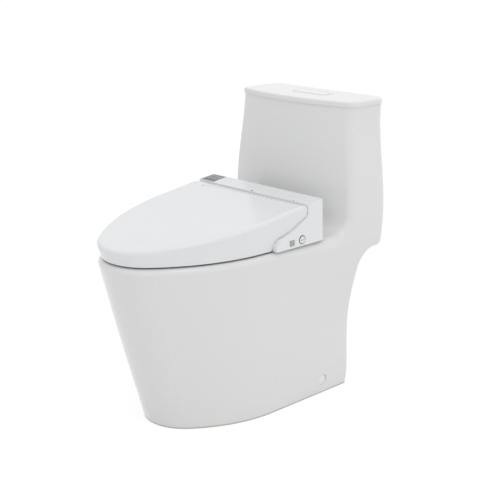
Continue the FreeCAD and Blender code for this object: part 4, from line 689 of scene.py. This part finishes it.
thread_pitch = 0.001814
shank_radius = 0.01002
ridge = 0.00062
thread_steps = 40
inlet_turns = 4
shank_turns = 12
inlet_start = (-0.1914, 0.114, 0.440)
shank_start = (-0.130, 0.300, 0.3446)


def thread(turns):
    """A helical ridge about +Z, starting at the origin and running up."""
    bpy.ops.object.select_all(action="DESELECT")
    bpy.ops.mesh.primitive_circle_add(
        vertices=3, radius=ridge, fill_type="NOTHING",
        location=(shank_radius, 0, 0), rotation=(math.pi / 2, 0, 0),
    )
    made = bpy.context.object
    bpy.ops.object.transform_apply(location=True, rotation=True, scale=True)
    winding = made.modifiers.new("winding", "SCREW")
    winding.axis = "Z"
    winding.angle = math.tau
    winding.screw_offset = thread_pitch
    winding.iterations = turns
    winding.steps = thread_steps
    winding.render_steps = thread_steps
    bpy.ops.object.modifier_apply(modifier="winding")
    bpy.ops.object.mode_set(mode="EDIT")
    bpy.ops.mesh.select_all(action="SELECT")
    bpy.ops.mesh.remove_doubles(threshold=0.000001)
    bpy.ops.mesh.fill_holes(sides=4)
    bpy.ops.mesh.normals_make_consistent(inside=False)
    bpy.ops.object.mode_set(mode="OBJECT")
    return made


inlet_thread = thread(inlet_turns)
inlet_thread.rotation_euler = (0, -math.pi / 2, 0)
inlet_thread.location = inlet_start
settle(inlet_thread, "inlet_thread", brass, "seat_unit")
shank_thread = thread(shank_turns)
shank_thread.location = shank_start
settle(shank_thread, "shank_thread", moulded, "pedestal")

# ---------------------------------------------------------------- fixings and inner mouldings
# Nylon, steel and grey moulded pieces inside the seat unit, under the deck and in the skirt.
# The photo hides them too, and their finishes are the usual ones.

grey = finish(
    "grey_moulding", (0.52, 0.53, 0.54), 0.5,
    Tone=0.04, Wave_Scale=25.0, Wave_Height=0.04, Grain_Scale=1200.0, Grain_Height=0.4,
    Roughness_Spread=0.08,
)
dress(
    grey, "housing_base", "nozzle_block", "water_heater", "dryer_duct", "deodoriser_filter",
    "base_plate", "deck_nuts", "hinge_posts", "dryer_impeller",
)
black = finish(
    "black_moulding", (0.02, 0.02, 0.022), 0.45,
    Tone=0.1, Wave_Scale=25.0, Wave_Height=0.04, Grain_Scale=1200.0, Grain_Height=0.4,
    Roughness_Spread=0.1,
)
dress(black, "nozzle_motor", "dryer_blower")
white_rubber = finish(
    "white_elastomer", (0.62, 0.62, 0.60), 0.6,
    Tone=0.04, Wave_Scale=60.0, Wave_Height=0.05, Grain_Scale=1500.0, Grain_Height=0.3,
    Roughness_Spread=0.1,
)
dress(white_rubber, "unit_feet", "seat_bumpers", "lid_bumpers", "cord_gland")
steel = finish(
    "plain_steel", (0.56, 0.57, 0.58), 0.3, metal=1.0,
    Tone=0.1, Wave_Scale=40.0, Wave_Height=0.03, Grain_Scale=900.0, Grain_Height=0.4,
    Roughness_Spread=0.15,
)
dress(
    steel, "base_plate_bolts", "side_screws", "floor_brackets", "soft_close_dampers",
    "dryer_motor",
)
board = finish(
    "solder_mask", (0.02, 0.10, 0.04), 0.35,
    Tone=0.1, Wave_Scale=90.0, Wave_Height=0.05, Grain_Scale=1500.0, Grain_Height=0.2,
    Roughness_Spread=0.1,
)
dress(board, "control_board")
foil = finish(
    "heating_foil", (0.70, 0.70, 0.72), 0.3, metal=1.0,
    Tone=0.1, Wave_Scale=60.0, Wave_Height=0.2, Grain_Scale=900.0, Grain_Height=0.2,
    Roughness_Spread=0.1,
)
dress(foil, "seat_heater")
